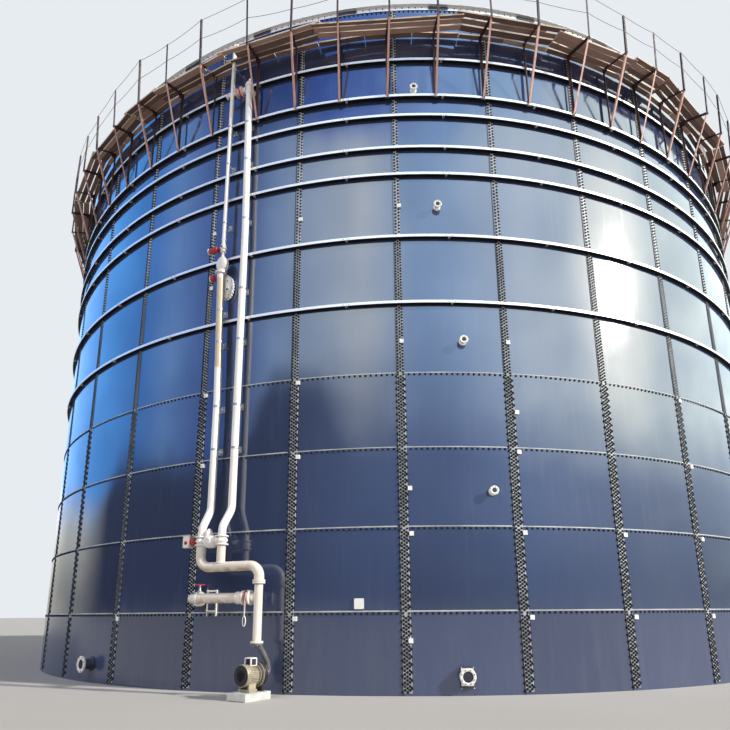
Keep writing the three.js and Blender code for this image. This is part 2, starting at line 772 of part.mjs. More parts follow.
function addPorts() {
  addPort('port_1', 8.29, 3360, 45, 130, 82);
  addPort('port_2', 6.18, 6200, 45, 130, 82);
  addPort('port_3', 4.18, 9090, 45, 130, 82);
  addPort('port_4', 2.1, 11920, 45, 130, 82);
  addPort('low_port_left', -35.7, 360, 100, 220, 160);
  addPort('low_port_right', 5.06, 300, 95, 140, 135);
}

addWall();
addFloor();
addRings();
addRimAndRoof();
addPlatform();
addGuardRails();
addPipework();
addPorts();

export default part;
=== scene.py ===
import math
import random

import bmesh
import bpy
import numpy as np
from mathutils import Matrix, Vector


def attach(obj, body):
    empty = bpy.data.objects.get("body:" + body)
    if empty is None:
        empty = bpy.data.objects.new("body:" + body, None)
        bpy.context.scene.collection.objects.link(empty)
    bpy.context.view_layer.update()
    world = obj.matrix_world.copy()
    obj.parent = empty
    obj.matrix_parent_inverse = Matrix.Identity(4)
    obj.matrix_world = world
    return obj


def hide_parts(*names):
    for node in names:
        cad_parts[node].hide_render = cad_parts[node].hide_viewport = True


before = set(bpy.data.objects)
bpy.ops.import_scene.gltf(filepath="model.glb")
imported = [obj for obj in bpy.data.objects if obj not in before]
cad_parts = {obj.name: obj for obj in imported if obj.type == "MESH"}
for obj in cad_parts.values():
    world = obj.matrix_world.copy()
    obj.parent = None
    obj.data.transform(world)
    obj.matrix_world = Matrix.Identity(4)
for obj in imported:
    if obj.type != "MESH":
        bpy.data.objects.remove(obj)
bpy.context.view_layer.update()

rng = random.Random(34)
print("frame loaded")

# A bolted tank in metres. Angles are in degrees from the front, towards the right.
tank = {
    "panels": 34,
    "radius": 10.8225,
    "bottomCourse": 1.31,
    "course": 1.42,
    "courses": 10,
    "facets": 68,
}
panelAngle = 360 / tank["panels"]
bayAngle = 360 / tank["facets"]


def seamLevel(course):
    return tank["bottomCourse"] + course * tank["course"]


wallTop = seamLevel(tank["courses"] - 1)


def onTank(angle, radius, z):
    turn = math.radians(angle)
    return Vector((radius * math.sin(turn), -radius * math.cos(turn), z))


def tankAxes(angle):  # to the right along the wall, out of the wall, and up
    turn = math.radians(angle)
    right = Vector((math.cos(turn), math.sin(turn), 0))
    out = Vector((math.sin(turn), -math.cos(turn), 0))
    return right, out, Vector((0, 0, 1))



# Meshes
class Parts:  # gathers the points and faces of many forms for one mesh
    def __init__(self):
        self.points, self.faces, self.marks, self.grain = [], [], [], []
        self.count = 0

    def add(self, points, faces, mark=0, grain=None):
        start = self.count
        self.points.extend(tuple(point) for point in points)
        self.faces.extend(tuple(start + i for i in face) for face in faces)
        self.marks.extend([mark] * len(faces))
        self.grain.extend(grain if grain else [(0.0, 0.0)] * len(points))
        self.count += len(points)

    def addMany(self, points, faces, places, mark=0):  # the same small form at many places
        form = np.array(points, float)
        each = np.array([np.array(place, float) for place in places])  # rows of 3 x 4
        spots = np.einsum("nij,pj->npi", each[:, :, :3], form) + each[:, None, :, 3]
        self.points.extend(map(tuple, spots.reshape(-1, 3).tolist()))
        size = len(points)
        for n in range(len(places)):
            start = self.count + n * size
            self.faces.extend(tuple(start + i for i in face) for face in faces)
        self.marks.extend([mark] * (len(faces) * len(places)))
        self.grain.extend([(0.0, 0.0)] * (size * len(places)))
        self.count += size * len(places)


def makePiece(name, parts, finishes, nodes=(), sharp=32):
    mesh = bpy.data.meshes.new(name)
    mesh.from_pydata(parts.points, [], parts.faces)
    for finish in finishes:
        mesh.materials.append(finish)
    mesh.polygons.foreach_set("material_index", parts.marks)
    if any(pair != (0.0, 0.0) for pair in parts.grain):
        layer = mesh.uv_layers.new(name="grain")
        corners = np.zeros(len(mesh.loops), np.int32)
        mesh.loops.foreach_get("vertex_index", corners)
        layer.data.foreach_set("uv", np.array(parts.grain, np.float32)[corners].ravel())
    work = bmesh.new()
    work.from_mesh(mesh)
    bmesh.ops.recalc_face_normals(work, faces=work.faces)
    work.to_mesh(mesh)
    work.free()
    mesh.polygons.foreach_set("use_smooth", [True] * len(mesh.polygons))
    mesh.set_sharp_from_angle(angle=math.radians(sharp))
    piece = bpy.data.objects.new(name, mesh)
    bpy.context.scene.collection.objects.link(piece)
    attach(piece, "root")
    if nodes:
        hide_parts(*nodes)
    return piece


def prism(outline, origin, sideA, sideB, along):  # a flat outline pushed along a vector
    points = [origin + sideA * a + sideB * b for a, b in outline]
    points += [point + along for point in points]
    n = len(outline)
    faces = [tuple(range(n)), tuple(range(2 * n - 1, n - 1, -1))]
    faces += [(i, (i + 1) % n, n + (i + 1) % n, n + i) for i in range(n)]
    return points, faces


def slab(center, sideA, sideB, sideC, size, edge=0.0):  # a block with chamfered long edges
    a, b, c = size[0] / 2, size[1] / 2, size[2]
    outline = [(-a, -b), (a, -b), (a, b), (-a, b)]
    if edge:
        e = edge
        outline = [(-a + e, -b), (a - e, -b), (a, -b + e), (a, b - e)]
        outline += [(a - e, b), (-a + e, b), (-a, b - e), (-a, -b + e)]
    return prism(outline, center - sideC * (c / 2), sideA, sideB, sideC * c)


def angleBar(start, end, legA, legB, size):  # a rolled angle from start to end
    thick = 0.005
    outline = [(0, 0), (size, 0), (size, thick), (thick, thick), (thick, size), (0, size)]
    return prism(outline, start, legA, legB, end - start)


def swept(profile, angles, closed=False):  # a profile of (radius, height) carried round the tank
    points = [onTank(angle, r, z) for angle in angles for r, z in profile]
    n, m = len(profile), len(angles)
    faces = []
    for j in range(m if closed else m - 1):
        k = (j + 1) % m
        faces += [(j * n + i, j * n + (i + 1) % n, k * n + (i + 1) % n, k * n + i) for i in range(n)]
    if not closed:
        faces += [tuple(range(n)), tuple((m - 1) * n + i for i in reversed(range(n)))]
    return points, faces


def crossAxes(axis):
    axis = axis.normalized()
    helper = Vector((0, 0, 1)) if abs(axis.z) < 0.9 else Vector((1, 0, 0))
    sideA = axis.cross(helper).normalized()
    return sideA, axis.cross(sideA).normalized(), axis


def spun(start, axis, profile, sides=28):  # (radius, distance) pairs turned about an axis
    sideA, sideB, axis = crossAxes(axis)
    points, rows = [], []
    for radius, along in profile:
        middle = start + axis * along
        if radius == 0:
            rows.append([len(points)])
            points.append(middle)
            continue
        rows.append(list(range(len(points), len(points) + sides)))
        for i in range(sides):
            turn = 2 * math.pi * i / sides
            points.append(middle + sideA * (radius * math.cos(turn)) + sideB * (radius * math.sin(turn)))
    faces = []
    for low, high in zip(rows, rows[1:]):
        for i in range(sides):
            k = (i + 1) % sides
            if len(low) == 1 and len(high) > 1:
                faces.append((low[0], high[k], high[i]))
            elif len(high) == 1 and len(low) > 1:
                faces.append((low[i], low[k], high[0]))
            elif len(low) > 1:
                faces.append((low[i], low[k], high[k], high[i]))
    if len(rows[0]) > 1:
        faces.append(tuple(reversed(rows[0])))
    if len(rows[-1]) > 1:
        faces.append(tuple(rows[-1]))
    return points, faces


def disc(start, axis, radius, depth, edge=0.003, sides=28):  # a short cylinder with chamfered rims
    profile = [(radius - edge, 0), (radius, edge), (radius, depth - edge), (radius - edge, depth)]
    return spun(start, axis, profile, sides)


def runPoints(corners, bend, steps=7):  # straight stretches with round bends at the corners
    found = [corners[0]]
    for before, corner, after in zip(corners, corners[1:], corners[2:]):
        arriving = (corner - before).normalized()
        leaving = (after - corner).normalized()
        turn = arriving.angle(leaving)
        if turn < 0.01:
            continue
        start = corner - arriving * (bend * math.tan(turn / 2))
        across = (leaving - arriving * math.cos(turn)).normalized()
        for step in range(steps + 1):
            angle = turn * step / steps
            ahead, aside = bend * math.sin(angle), bend * (1 - math.cos(angle))
            found.append(start + arriving * ahead + across * aside)
    return found + [corners[-1]]


def tube(points, radius, sides=24):
    tangents = []
    for i in range(len(points)):
        ahead = points[min(i + 1, len(points) - 1)] - points[max(i - 1, 0)]
        tangents.append(ahead.normalized())
    sideA = crossAxes(tangents[0])[0]
    made, faces = [], []
    for i, (point, tangent) in enumerate(zip(points, tangents)):
        sideA = (sideA - tangent * sideA.dot(tangent)).normalized()
        sideB = tangent.cross(sideA)
        for k in range(sides):
            turn = 2 * math.pi * k / sides
            made.append(point + sideA * (radius * math.cos(turn)) + sideB * (radius * math.sin(turn)))
        if i:
            low, high = (i - 1) * sides, i * sides
            pairs = [(k, (k + 1) % sides) for k in range(sides)]
            faces += [(low + k, low + n, high + n, high + k) for k, n in pairs]
    faces += [tuple(reversed(range(sides))), tuple(range(len(made) - sides, len(made)))]
    return made, faces


def boltRing(parts, center, axis, radius, count, size, height):  # bolt heads on a circle
    sideA, sideB, axis = crossAxes(axis)
    for i in range(count):
        angle = 2 * math.pi * (i + 0.5) / count
        spot = center + sideA * (radius * math.cos(angle)) + sideB * (radius * math.sin(angle))
        parts.add(*spun(spot, axis, [(size, 0), (size, height * 0.8), (size * 0.7, height)], 6), 1)


def mm(*sizes):  # pairs of sizes in millimetres, such as radius and distance for spun
    return [(a / 1000, b / 1000) for a, b in zip(sizes[::2], sizes[1::2])]


def heads(parts, spots, axis, form, mark=1):  # six-sided bolt heads
    for spot in spots:
        parts.add(*spun(spot, axis, form, 6), mark)


# Materials
class Signal:  # wraps a socket so that shader maths reads as plain expressions
    def __init__(self, paint, socket):
        self.paint, self.socket = paint, socket

    def maths(self, operation, *others):
        return self.paint.node("ShaderNodeMath", {"operation": operation}, [self, *others])

    def __add__(self, other):
        return self.maths("ADD", other)

    def __sub__(self, other):
        return self.maths("SUBTRACT", other)

    def __rsub__(self, other):
        return self.paint.node("ShaderNodeMath", {"operation": "SUBTRACT"}, [other, self])

    def __mul__(self, other):
        return self.maths("MULTIPLY", other)

    def __pow__(self, other):
        return self.maths("POWER", other)

    __radd__, __rmul__ = __add__, __mul__

    def above(self, low, high):  # 0 at low, 1 at high, smooth between
        sockets = {"Value": self, "From Min": low, "From Max": high}
        return self.paint.node("ShaderNodeMapRange", {"interpolation_type": "SMOOTHSTEP"}, sockets)

    def clamped(self):
        return self.maths("MINIMUM", 1.0).maths("MAXIMUM", 0.0)


class Paint:  # one material and the few node set-ups that this tank needs
    def __init__(self, name, tree=None):
        if tree is None:
            self.material = bpy.data.materials.new(name)
            self.material.use_nodes = True
            tree = self.material.node_tree
            self.shader = tree.nodes["Principled BSDF"]
        self.tree = tree

    def node(self, kind, settings=None, sockets=None, output=0):
        made = self.tree.nodes.new(kind)
        for key, value in (settings or {}).items():
            if key == "stops":
                ramp = made.color_ramp
                while len(ramp.elements) < len(value):
                    ramp.elements.new(0.5)
                for element, (place, color) in zip(ramp.elements, value):
                    element.position = place
                    element.color = color
            else:
                setattr(made, key, value)
        pairs = sockets.items() if isinstance(sockets, dict) else enumerate(sockets or [])
        for key, value in pairs:
            if isinstance(value, Signal):
                self.tree.links.new(value.socket, made.inputs[key])
            else:
                made.inputs[key].default_value = value
        return Signal(self, made.outputs[output]) if made.outputs else None

    def place(self, scale=(1, 1, 1), source="Object"):
        spot = self.node("ShaderNodeTexCoord")
        spot.socket = spot.socket.node.outputs[source]
        return self.node("ShaderNodeMapping", None, {"Vector": spot, "Scale": scale})

    def noise(self, scale, detail=4.0, rough=0.55, place=None, stretch=(1, 1, 1)):
        where = place or self.place(stretch)
        sockets = {"Vector": where, "Scale": scale, "Detail": detail, "Roughness": rough}
        return self.node("ShaderNodeTexNoise", None, sockets)

    def mix(self, share, first, second, blend="MIX"):
        made = self.tree.nodes.new("ShaderNodeMix")
        made.data_type = "RGBA"
        made.blend_type = blend
        for key, value in ((0, share), (6, first), (7, second)):
            if isinstance(value, Signal):
                self.tree.links.new(value.socket, made.inputs[key])
            else:
                made.inputs[key].default_value = value
        return Signal(self, made.outputs[2])

    def height(self):  # the level above the ground
        spot = self.node("ShaderNodeNewGeometry")
        return self.node("ShaderNodeSeparateXYZ", None, [spot], output=2)

    def facing(self):  # how far the surface faces up
        spot = self.node("ShaderNodeNewGeometry", output=1)
        return self.node("ShaderNodeSeparateXYZ", None, [spot], output=2)

    def chance(self):  # a number of its own for each loose form in a mesh
        spot = self.node("ShaderNodeNewGeometry")
        spot.socket = spot.socket.node.outputs["Random Per Island"]
        return spot

    def bump(self, height, strength, distance):
        sockets = {"Height": height, "Strength": strength, "Distance": distance}
        return self.node("ShaderNodeBump", None, sockets)

    def finish(self, **inputs):
        for key, value in inputs.items():
            socket = self.shader.inputs[{
                "color": "Base Color", "rough": "Roughness", "metal": "Metallic", "normal": "Normal",
                "specular": "Specular IOR Level", "ior": "IOR",
            }[key]]
            if isinstance(value, Signal):
                self.tree.links.new(value.socket, socket)
            else:
                socket.default_value = value
        return self.material


def rgb(red, green, blue):
    return (red, green, blue, 1.0)


def makeEnamel():
    look = {
        "deep": rgb(0.028, 0.041, 0.096),
        "light": rgb(0.048, 0.070, 0.162),
        "dust": rgb(0.16, 0.165, 0.18),
    }
    paint = Paint("enamel")
    sheet = paint.chance()
    cloud = paint.noise(0.35, 3.0)
    base = paint.mix((sheet * 0.6 + cloud * 0.4).clamped(), look["deep"], look["light"])
    runs = paint.noise(1.0, 5.0, 0.6, stretch=(9, 9, 0.5)).above(0.52, 0.78)
    low = 1.0 - paint.height().above(0.10, 2.0)
    streaks = paint.noise(1.0, 5.0, 0.65, stretch=(5, 5, 0.6)).above(0.38, 0.72)
    grime = (runs * 0.11 + low * streaks * 0.15).clamped()
    color = paint.mix(grime, base, look["dust"])
    wave = paint.noise(0.9, 1.0)
    return paint.finish(
        color=color,
        rough=(sheet * 0.02 + paint.noise(3.0, 4.0) * 0.04 + grime * 0.30 + low * 0.12 + 0.055).clamped(),
        ior=2.0,
        normal=paint.bump(wave, 0.30, 0.012),
    )


def makeSimple(name, color, rough, metal=0.0, spread=0.15, scale=6.0, specular=0.5):
    paint = Paint(name)
    shade = tuple(channel * (1 - spread) for channel in color[:3]) + (1.0,)
    tone = tuple(min(1.0, channel * (1 + spread)) for channel in color[:3]) + (1.0,)
    patch = paint.noise(scale, 5.0)
    return paint.finish(
        color=paint.mix(patch.above(0.3, 0.7), shade, tone),
        rough=(patch * 0.15 + (rough - 0.07)).clamped(),
        metal=metal,
        specular=specular,
        normal=paint.bump(paint.noise(scale * 12, 3.0), 0.12, 0.002),
    )


def makeGalvanised():
    look = {"bright": rgb(0.95, 0.95, 0.93), "dull": rgb(0.82, 0.83, 0.83), "stain": rgb(0.40, 0.34, 0.28)}
    paint = Paint("galvanised")
    spangle = paint.node("ShaderNodeTexVoronoi", None, {"Vector": paint.place(), "Scale": 38.0}, output=1)
    spangle = paint.node("ShaderNodeSeparateXYZ", None, [spangle])
    cloud = paint.noise(1.3, 5.0)
    base = paint.mix((spangle * 0.35 + cloud * 0.65).above(0.25, 0.75), look["dull"], look["bright"])
    stain = paint.noise(3.5, 6.0, 0.65).above(0.63, 0.80)
    return paint.finish(
        color=paint.mix(stain * 0.35, base, look["stain"]),
        rough=(spangle * 0.08 + cloud * 0.12 + stain * 0.2 + 0.30).clamped(),
        metal=0.35,
        normal=paint.bump(spangle, 0.06, 0.001),
    )


def makeRust(name, look):
    paint = Paint(name)
    own = paint.chance()
    flake = paint.noise(9.0, 6.0, 0.68).above(0.42, 0.66)
    cloud = paint.noise(1.6, 4.0)
    primer = paint.mix((own * 0.7 + cloud * 0.3).clamped(), look["shade"], look["primer"])
    rust = paint.mix(paint.noise(28.0, 4.0).above(0.35, 0.7), look["rust"], look["bloom"])
    return paint.finish(
        color=paint.mix(flake * look["share"], primer, rust),
        rough=(flake * 0.2 + 0.62).clamped(),
        metal=0.1,
        normal=paint.bump(paint.noise(55.0, 5.0) + flake * 0.6, 0.45, 0.0015),
    )


def makeTimber(name, look):
    paint = Paint(name)
    own = paint.chance()
    along = paint.place((1.2, 22.0, 1), "UV")
    fibre = paint.noise(3.0, 6.0, 0.6, along)
    wide = paint.noise(1.1, 3.0, 0.5, along)
    base = paint.mix(own.above(0.1, 0.9), look["dark"], look["warm"])
    base = paint.mix((wide.above(0.45, 0.7) * 0.5).clamped(), base, look["grey"])
    base = paint.mix(fibre.above(0.52, 0.72) * look["grain"], base, look["vein"])
    splash = paint.noise(4.5, 6.0, 0.7).above(0.62, 0.76)
    # painted shade: faces that point down turn towards the underside colours
    damp = 1.0 - paint.facing().above(-0.95, -0.30)
    base = paint.mix(splash * 0.5, base, look["cement"])
    below = paint.mix(own.above(0.15, 0.85), look["damp"], look["dry"])
    return paint.finish(
        color=paint.mix(damp * 0.65, base, below),
        rough=(fibre * 0.15 + 0.72).clamped(),
        normal=paint.bump(fibre + wide * 0.4, 0.55, 0.003),
    )


def makePipePaint(name, look):
    paint = Paint(name)
    cloud = paint.noise(1.1, 4.0)
    base = paint.mix(cloud.above(0.3, 0.7), look["white"], look["cream"])
    runs = paint.noise(1.0, 5.0, 0.6, stretch=(26, 26, 1.4)).above(0.50, 0.72)
    scuff = paint.noise(11.0, 6.0, 0.7).above(0.62, 0.72)
    base = paint.mix((runs * look["streaks"]).clamped(), base, look["stain"])
    level = paint.height()
    if "bareFrom" in look:  # the stretch where the coat is thin and tan
        edge = level + paint.noise(2.2, 4.0) * 0.3
        begun = edge.above(look["bareFrom"], look["bareFrom"] + 0.06)
        ended = edge.above(look["bareTo"], look["bareTo"] + 0.10)
        base = paint.mix(begun * (1.0 - ended) * 0.90, base, look["tan"])
    if "under" in look:  # painted shade: brownish patches on the faces that point down
        under = (1.0 - paint.facing().above(-0.75, 0.05)) * paint.noise(5.0, 5.0, 0.6).above(0.35, 0.60)
        base = paint.mix(under * 0.8, base, look["under"])
    return paint.finish(
        color=paint.mix(scuff * 0.4, base, look["stain"]),
        rough=(runs * 0.12 + scuff * 0.2 + 0.30).clamped(),
        specular=0.5,
        normal=paint.bump(paint.noise(34.0, 4.0), 0.10, 0.002),
    )


def makeRedPaint():
    look = {"red": rgb(0.52, 0.015, 0.03), "worn": rgb(0.40, 0.05, 0.05), "chip": rgb(0.62, 0.52, 0.48)}
    paint = Paint("redPaint")
    cloud = paint.noise(7.0, 4.0)
    chip = paint.noise(24.0, 6.0, 0.7).above(0.62, 0.70)
    base = paint.mix(cloud.above(0.3, 0.7), look["red"], look["worn"])
    return paint.finish(
        color=paint.mix(chip * 0.7, base, look["chip"]),
        rough=(cloud * 0.15 + chip * 0.3 + 0.26).clamped(),
        normal=paint.bump(paint.noise(60.0, 3.0), 0.12, 0.001),
    )


enamel = makeEnamel()
boltCap = makeSimple("boltCap", rgb(0.007, 0.007, 0.009), 0.5, specular=0.2)
sealant = makeSimple("sealant", rgb(0.42, 0.44, 0.45), 0.60, spread=0.25, scale=3.0)
# painted highlight: a pale strip between the bolt columns stands for sun glints on the caps
seamStripGlints = makeSimple("seamStripGlints", rgb(0.46, 0.49, 0.52), 0.45, spread=0.30, scale=2.2)
darkSealant = makeSimple("darkSealant", rgb(0.022, 0.022, 0.024), 0.5)
galvanised = makeGalvanised()
# painted shade: near-black for the hollow under each ring's top leaf; it also colours the rim's bolt heads
# and splice plates
blackPartsAndShade = makeSimple("blackPartsAndShade", rgb(0.012, 0.013, 0.017), 0.45)
# painted light: the struts get the pale salmon of sunlit red primer
sunlitStrutSteel = makeRust("sunlitStrutSteel", {
    "shade": rgb(0.45, 0.24, 0.20), "primer": rgb(0.75, 0.48, 0.40), "rust": rgb(0.38, 0.18, 0.12),
    "bloom": rgb(0.60, 0.36, 0.26), "share": 0.30,
})
# painted shade: the legs, arms, gussets and shoes get a near-black red primer
shadedBracketSteel = makeRust("shadedBracketSteel", {
    "shade": rgb(0.036, 0.019, 0.017), "primer": rgb(0.095, 0.045, 0.038), "rust": rgb(0.065, 0.030, 0.020),
    "bloom": rgb(0.15, 0.070, 0.045), "share": 0.50,
})
# painted shade: the guard posts get a near-black red primer
shadedPostSteel = makeRust("shadedPostSteel", {
    "shade": rgb(0.030, 0.024, 0.024), "primer": rgb(0.085, 0.050, 0.044), "rust": rgb(0.055, 0.030, 0.022),
    "bloom": rgb(0.13, 0.075, 0.05), "share": 0.55,
})
# painted shade: damp and dry colour the faces that point down
timber = makeTimber("timber", {
    "dark": rgb(0.20, 0.115, 0.085), "warm": rgb(0.52, 0.335, 0.245), "grey": rgb(0.40, 0.33, 0.28),
    "vein": rgb(0.075, 0.045, 0.032), "cement": rgb(0.58, 0.53, 0.46), "grain": 0.55,
    "damp": rgb(0.095, 0.048, 0.040), "dry": rgb(0.42, 0.26, 0.205),
})
# painted highlight: pale cream on the sides and ends stands for light catching the board edges
sawnEdgeHighlight = makeTimber("sawnEdgeHighlight", {
    "dark": rgb(0.60, 0.50, 0.41), "warm": rgb(0.90, 0.80, 0.68), "grey": rgb(0.75, 0.69, 0.61),
    "vein": rgb(0.35, 0.26, 0.19), "cement": rgb(0.82, 0.79, 0.73), "grain": 0.3,
    "damp": rgb(0.40, 0.27, 0.22), "dry": rgb(0.60, 0.44, 0.36),
})
ropeWire = makeSimple("ropeWire", rgb(0.16, 0.16, 0.17), 0.5, metal=0.5)
pipeColors = {
    "white": rgb(0.93, 0.92, 0.90), "cream": rgb(0.86, 0.83, 0.77), "stain": rgb(0.50, 0.41, 0.32),
    "streaks": 0.22,
}
whitePipe = makePipePaint("whitePipe", pipeColors)
tanPipe = makePipePaint("tanPipe", {
    **pipeColors, "bareFrom": 6.10, "bareTo": 7.98, "tan": rgb(0.55, 0.43, 0.27),
})
flangePaint = makePipePaint("flangePaint", {
    **pipeColors, "white": rgb(0.86, 0.76, 0.74), "cream": rgb(0.74, 0.58, 0.54),
})
# painted shade: the under colour darkens the undersides of the cream pipes
creamPipe = makePipePaint("creamPipe", {
    **pipeColors, "white": rgb(0.86, 0.83, 0.77), "cream": rgb(0.76, 0.69, 0.59), "streaks": 0.35,
    "under": rgb(0.48, 0.25, 0.13),
})
redPaint = makeRedPaint()
motorPaint = makeSimple("motorPaint", rgb(0.026, 0.020, 0.021), 0.45, spread=0.4)
castPaint = makeSimple("castPaint", rgb(0.36, 0.32, 0.235), 0.38, spread=0.3)
linePaint = makeSimple("linePaint", rgb(0.13, 0.13, 0.135), 0.30, spread=0.3)
roofSheet = makeSimple("roofSheet", rgb(0.13, 0.16, 0.19), 0.5, spread=0.25, scale=1.2)
nutSteel = makeSimple("nutSteel", rgb(0.42, 0.41, 0.39), 0.42, metal=0.6)
plateWhite = makeSimple("plateWhite", rgb(0.93, 0.93, 0.91), 0.45, spread=0.05)
blackGasket = makeSimple("blackGasket", rgb(0.02, 0.02, 0.022), 0.6)
print("materials made")

# Wall: lapped sheets, bolts and sealant, one set for each wall node
sheets = {
    "under": 10.8085,  # outer face where a sheet goes under its neighbour
    "lapStep": 0.005,
    "thick": 0.004,
    "sideLap": 0.066,
    "topLap": 0.022,
    "footLap": 0.06,
    "across": 8,
    "rows": 4,
    "pillow": 0.0034,
    "twist": 0.0019,
    "pieces": 11,
    "panelsEach": 3,
}
bolts = {
    "radius": {"low": 0.0255, "middle": 0.0240, "high": 0.0245, "seam": 0.0240},
    "height": 0.017,
    "sunk": 0.004,
    "lowCourses": 4,
    "middleCourses": 6,
    # upright rows on a side lap: place across it, spacing, and how far up the row starts
    "columns": {
        "low": [
            (-0.082, 0.122, 0.0), (-0.044, 0.061, 0.03), (-0.002, 0.061, 0.0), (0.040, 0.061, 0.03),
            (0.072, 0.122, 0.061),
        ],
        "middle": [(-0.050, 0.061, 0.0), (-0.004, 0.061, 0.03), (0.042, 0.061, 0.0)],
        "high": [(-0.031, 0.073, 0.0), (0.031, 0.073, 0.0365)],
    },
    "clear": 0.034,  # from a seam to the first and last bolt of a row
    "first": 0.06,
    "perPanel": 20,
    "belowSeam": 0.012,
    "aboveSeam": 0.052,
    "belowTop": 0.04,
}
strips = {
    "plainSeams": (0, 1, 2, 3),
    "bead": mm(-4, -10, 8, -9, 7, 8, -4, 14),
    "darkOut": 0.014,
    "dark": (0.010, 0.016, wallTop - 0.02),
    "foot": 0.045,
    "width": {"low": 0.146, "middle": 0.114, "high": 0.100},
    "depth": 0.0072,
}
wallFace = sheets["under"] + sheets["lapStep"]


def shell(outer, inner, across, rows):  # a curved sheet from two grids of points, closed at its edges
    wide, half = across + 1, len(outer)
    faces = []
    for row in range(rows):
        for column in range(across):
            i = row * wide + column
            faces.append((i, i + 1, i + wide + 1, i + wide))
            faces.append((half + i, half + i + wide, half + i + wide + 1, half + i + 1))
    edge = list(range(wide)) + [row * wide + across for row in range(1, rows + 1)]
    edge += [rows * wide + i for i in reversed(range(across))]
    edge += [row * wide for row in reversed(range(1, rows))]
    faces += [(i, half + i, half + k, k) for i, k in zip(edge, edge[1:] + edge[:1])]
    return outer + inner, faces


def sheetSkin(panel, course):  # slightly pillowed and twisted, each in its own way
    s = sheets
    lap = math.degrees(s["sideLap"] / tank["radius"])
    start, end = panel * panelAngle - lap, (panel + 1) * panelAngle + lap
    bottom = 0.0 if course == 0 else seamLevel(course - 1) - s["footLap"]
    top = min(seamLevel(course) + s["topLap"], wallTop)
    pillow = rng.uniform(-0.3, 1.0) * s["pillow"]
    twist = rng.uniform(-1, 1) * s["twist"]
    outer = []
    for row in range(s["rows"] + 1):
        v = row / s["rows"]
        for column in range(s["across"] + 1):
            u = column / s["across"]
            swell = math.sin(math.pi * u)
            radius = s["under"] + s["lapStep"] * (1 - u + v) - pillow * swell * math.sin(math.pi * v)
            radius += twist * swell * math.sin(2 * math.pi * v)
            outer.append((start + (end - start) * u, radius, bottom + (top - bottom) * v))
    inner = [onTank(angle, radius - s["thick"], z) for angle, radius, z in outer]
    return shell([onTank(*spot) for spot in outer], inner, s["across"], s["rows"])


def capForm(kind):  # a domed black cap over a bolt
    r, h, sunk = bolts["radius"][kind], bolts["height"], bolts["sunk"]
    profile = [(r, 0), (r * 0.84, h * 0.62 + sunk), (0, h + sunk)]
    points, faces = spun(Vector((0, 0, -sunk)), Vector((0, 0, 1)), profile, 6)
    return points, faces[:-1]  # the flat foot is hidden


def capPlace(angle, radius, z):  # turned at random about the way out of the wall
    right, out, up = tankAxes(angle)
    spot = onTank(angle, radius, z)
    turn = rng.uniform(0, math.pi)
    a = right * math.cos(turn) + up * math.sin(turn)
    b = up * math.cos(turn) - right * math.sin(turn)
    return [[a[i], b[i], out[i], spot[i]] for i in range(3)]


def boltKind(course):
    if course < bolts["lowCourses"]:
        return "low"
    return "middle" if course < bolts["middleCourses"] else "high"


def lapBolts(panel, course):  # the upright rows at a sheet's left side
    base = seamLevel(course - 1) + bolts["clear"] if course else bolts["first"]
    found = []
    for column, pitch, shift in bolts["columns"][boltKind(course)]:
        angle = panel * panelAngle + math.degrees(column / tank["radius"])
        count = int((seamLevel(course) - bolts["clear"] - base - shift) / pitch) + 1
        for row in range(count):
            z = base + shift + row * pitch + rng.uniform(-0.003, 0.003)
            found.append(capPlace(angle, wallFace + 0.006, z))
    return found


def seamBolts(panel, seam):  # the level row at a sheet's top; it clears the ring where there is one
    level = seamLevel(seam) - bolts["belowSeam"]
    if seam not in strips["plainSeams"]:
        level = seamLevel(seam) + bolts["aboveSeam"]
    if seam == tank["courses"] - 1:
        level = wallTop - bolts["belowTop"]
    angles = [(panel + (i + 0.5) / bolts["perPanel"]) * panelAngle for i in range(bolts["perPanel"])]
    return [capPlace(angle, wallFace + 0.005, level + rng.uniform(-0.002, 0.002)) for angle in angles]


def lapStrips(parts, panel):  # the dark bead, and the pale strip along an upright lap; the strip's pale colour is a painted highlight for sun glints between the bolt caps
    angle = panel * panelAngle - math.degrees((sheets["sideLap"] + strips["darkOut"]) / tank["radius"])
    spot = onTank(angle, sheets["under"] + 0.003, wallTop / 2)
    parts.add(*slab(spot, *tankAxes(angle), strips["dark"]), 1)
    changes = [seamLevel(bolts["lowCourses"] - 1), seamLevel(bolts["middleCourses"] - 1)]
    ends = [strips["foot"]] + changes + [wallTop - 0.012]
    for low, high, kind in zip(ends, ends[1:], ("low", "middle", "high")):
        spot = onTank(panel * panelAngle, wallFace + 0.002, (low + high) / 2)
        size = (strips["width"][kind], strips["depth"], high - low)
        parts.add(*slab(spot, *tankAxes(panel * panelAngle), size, 0.002), 2)


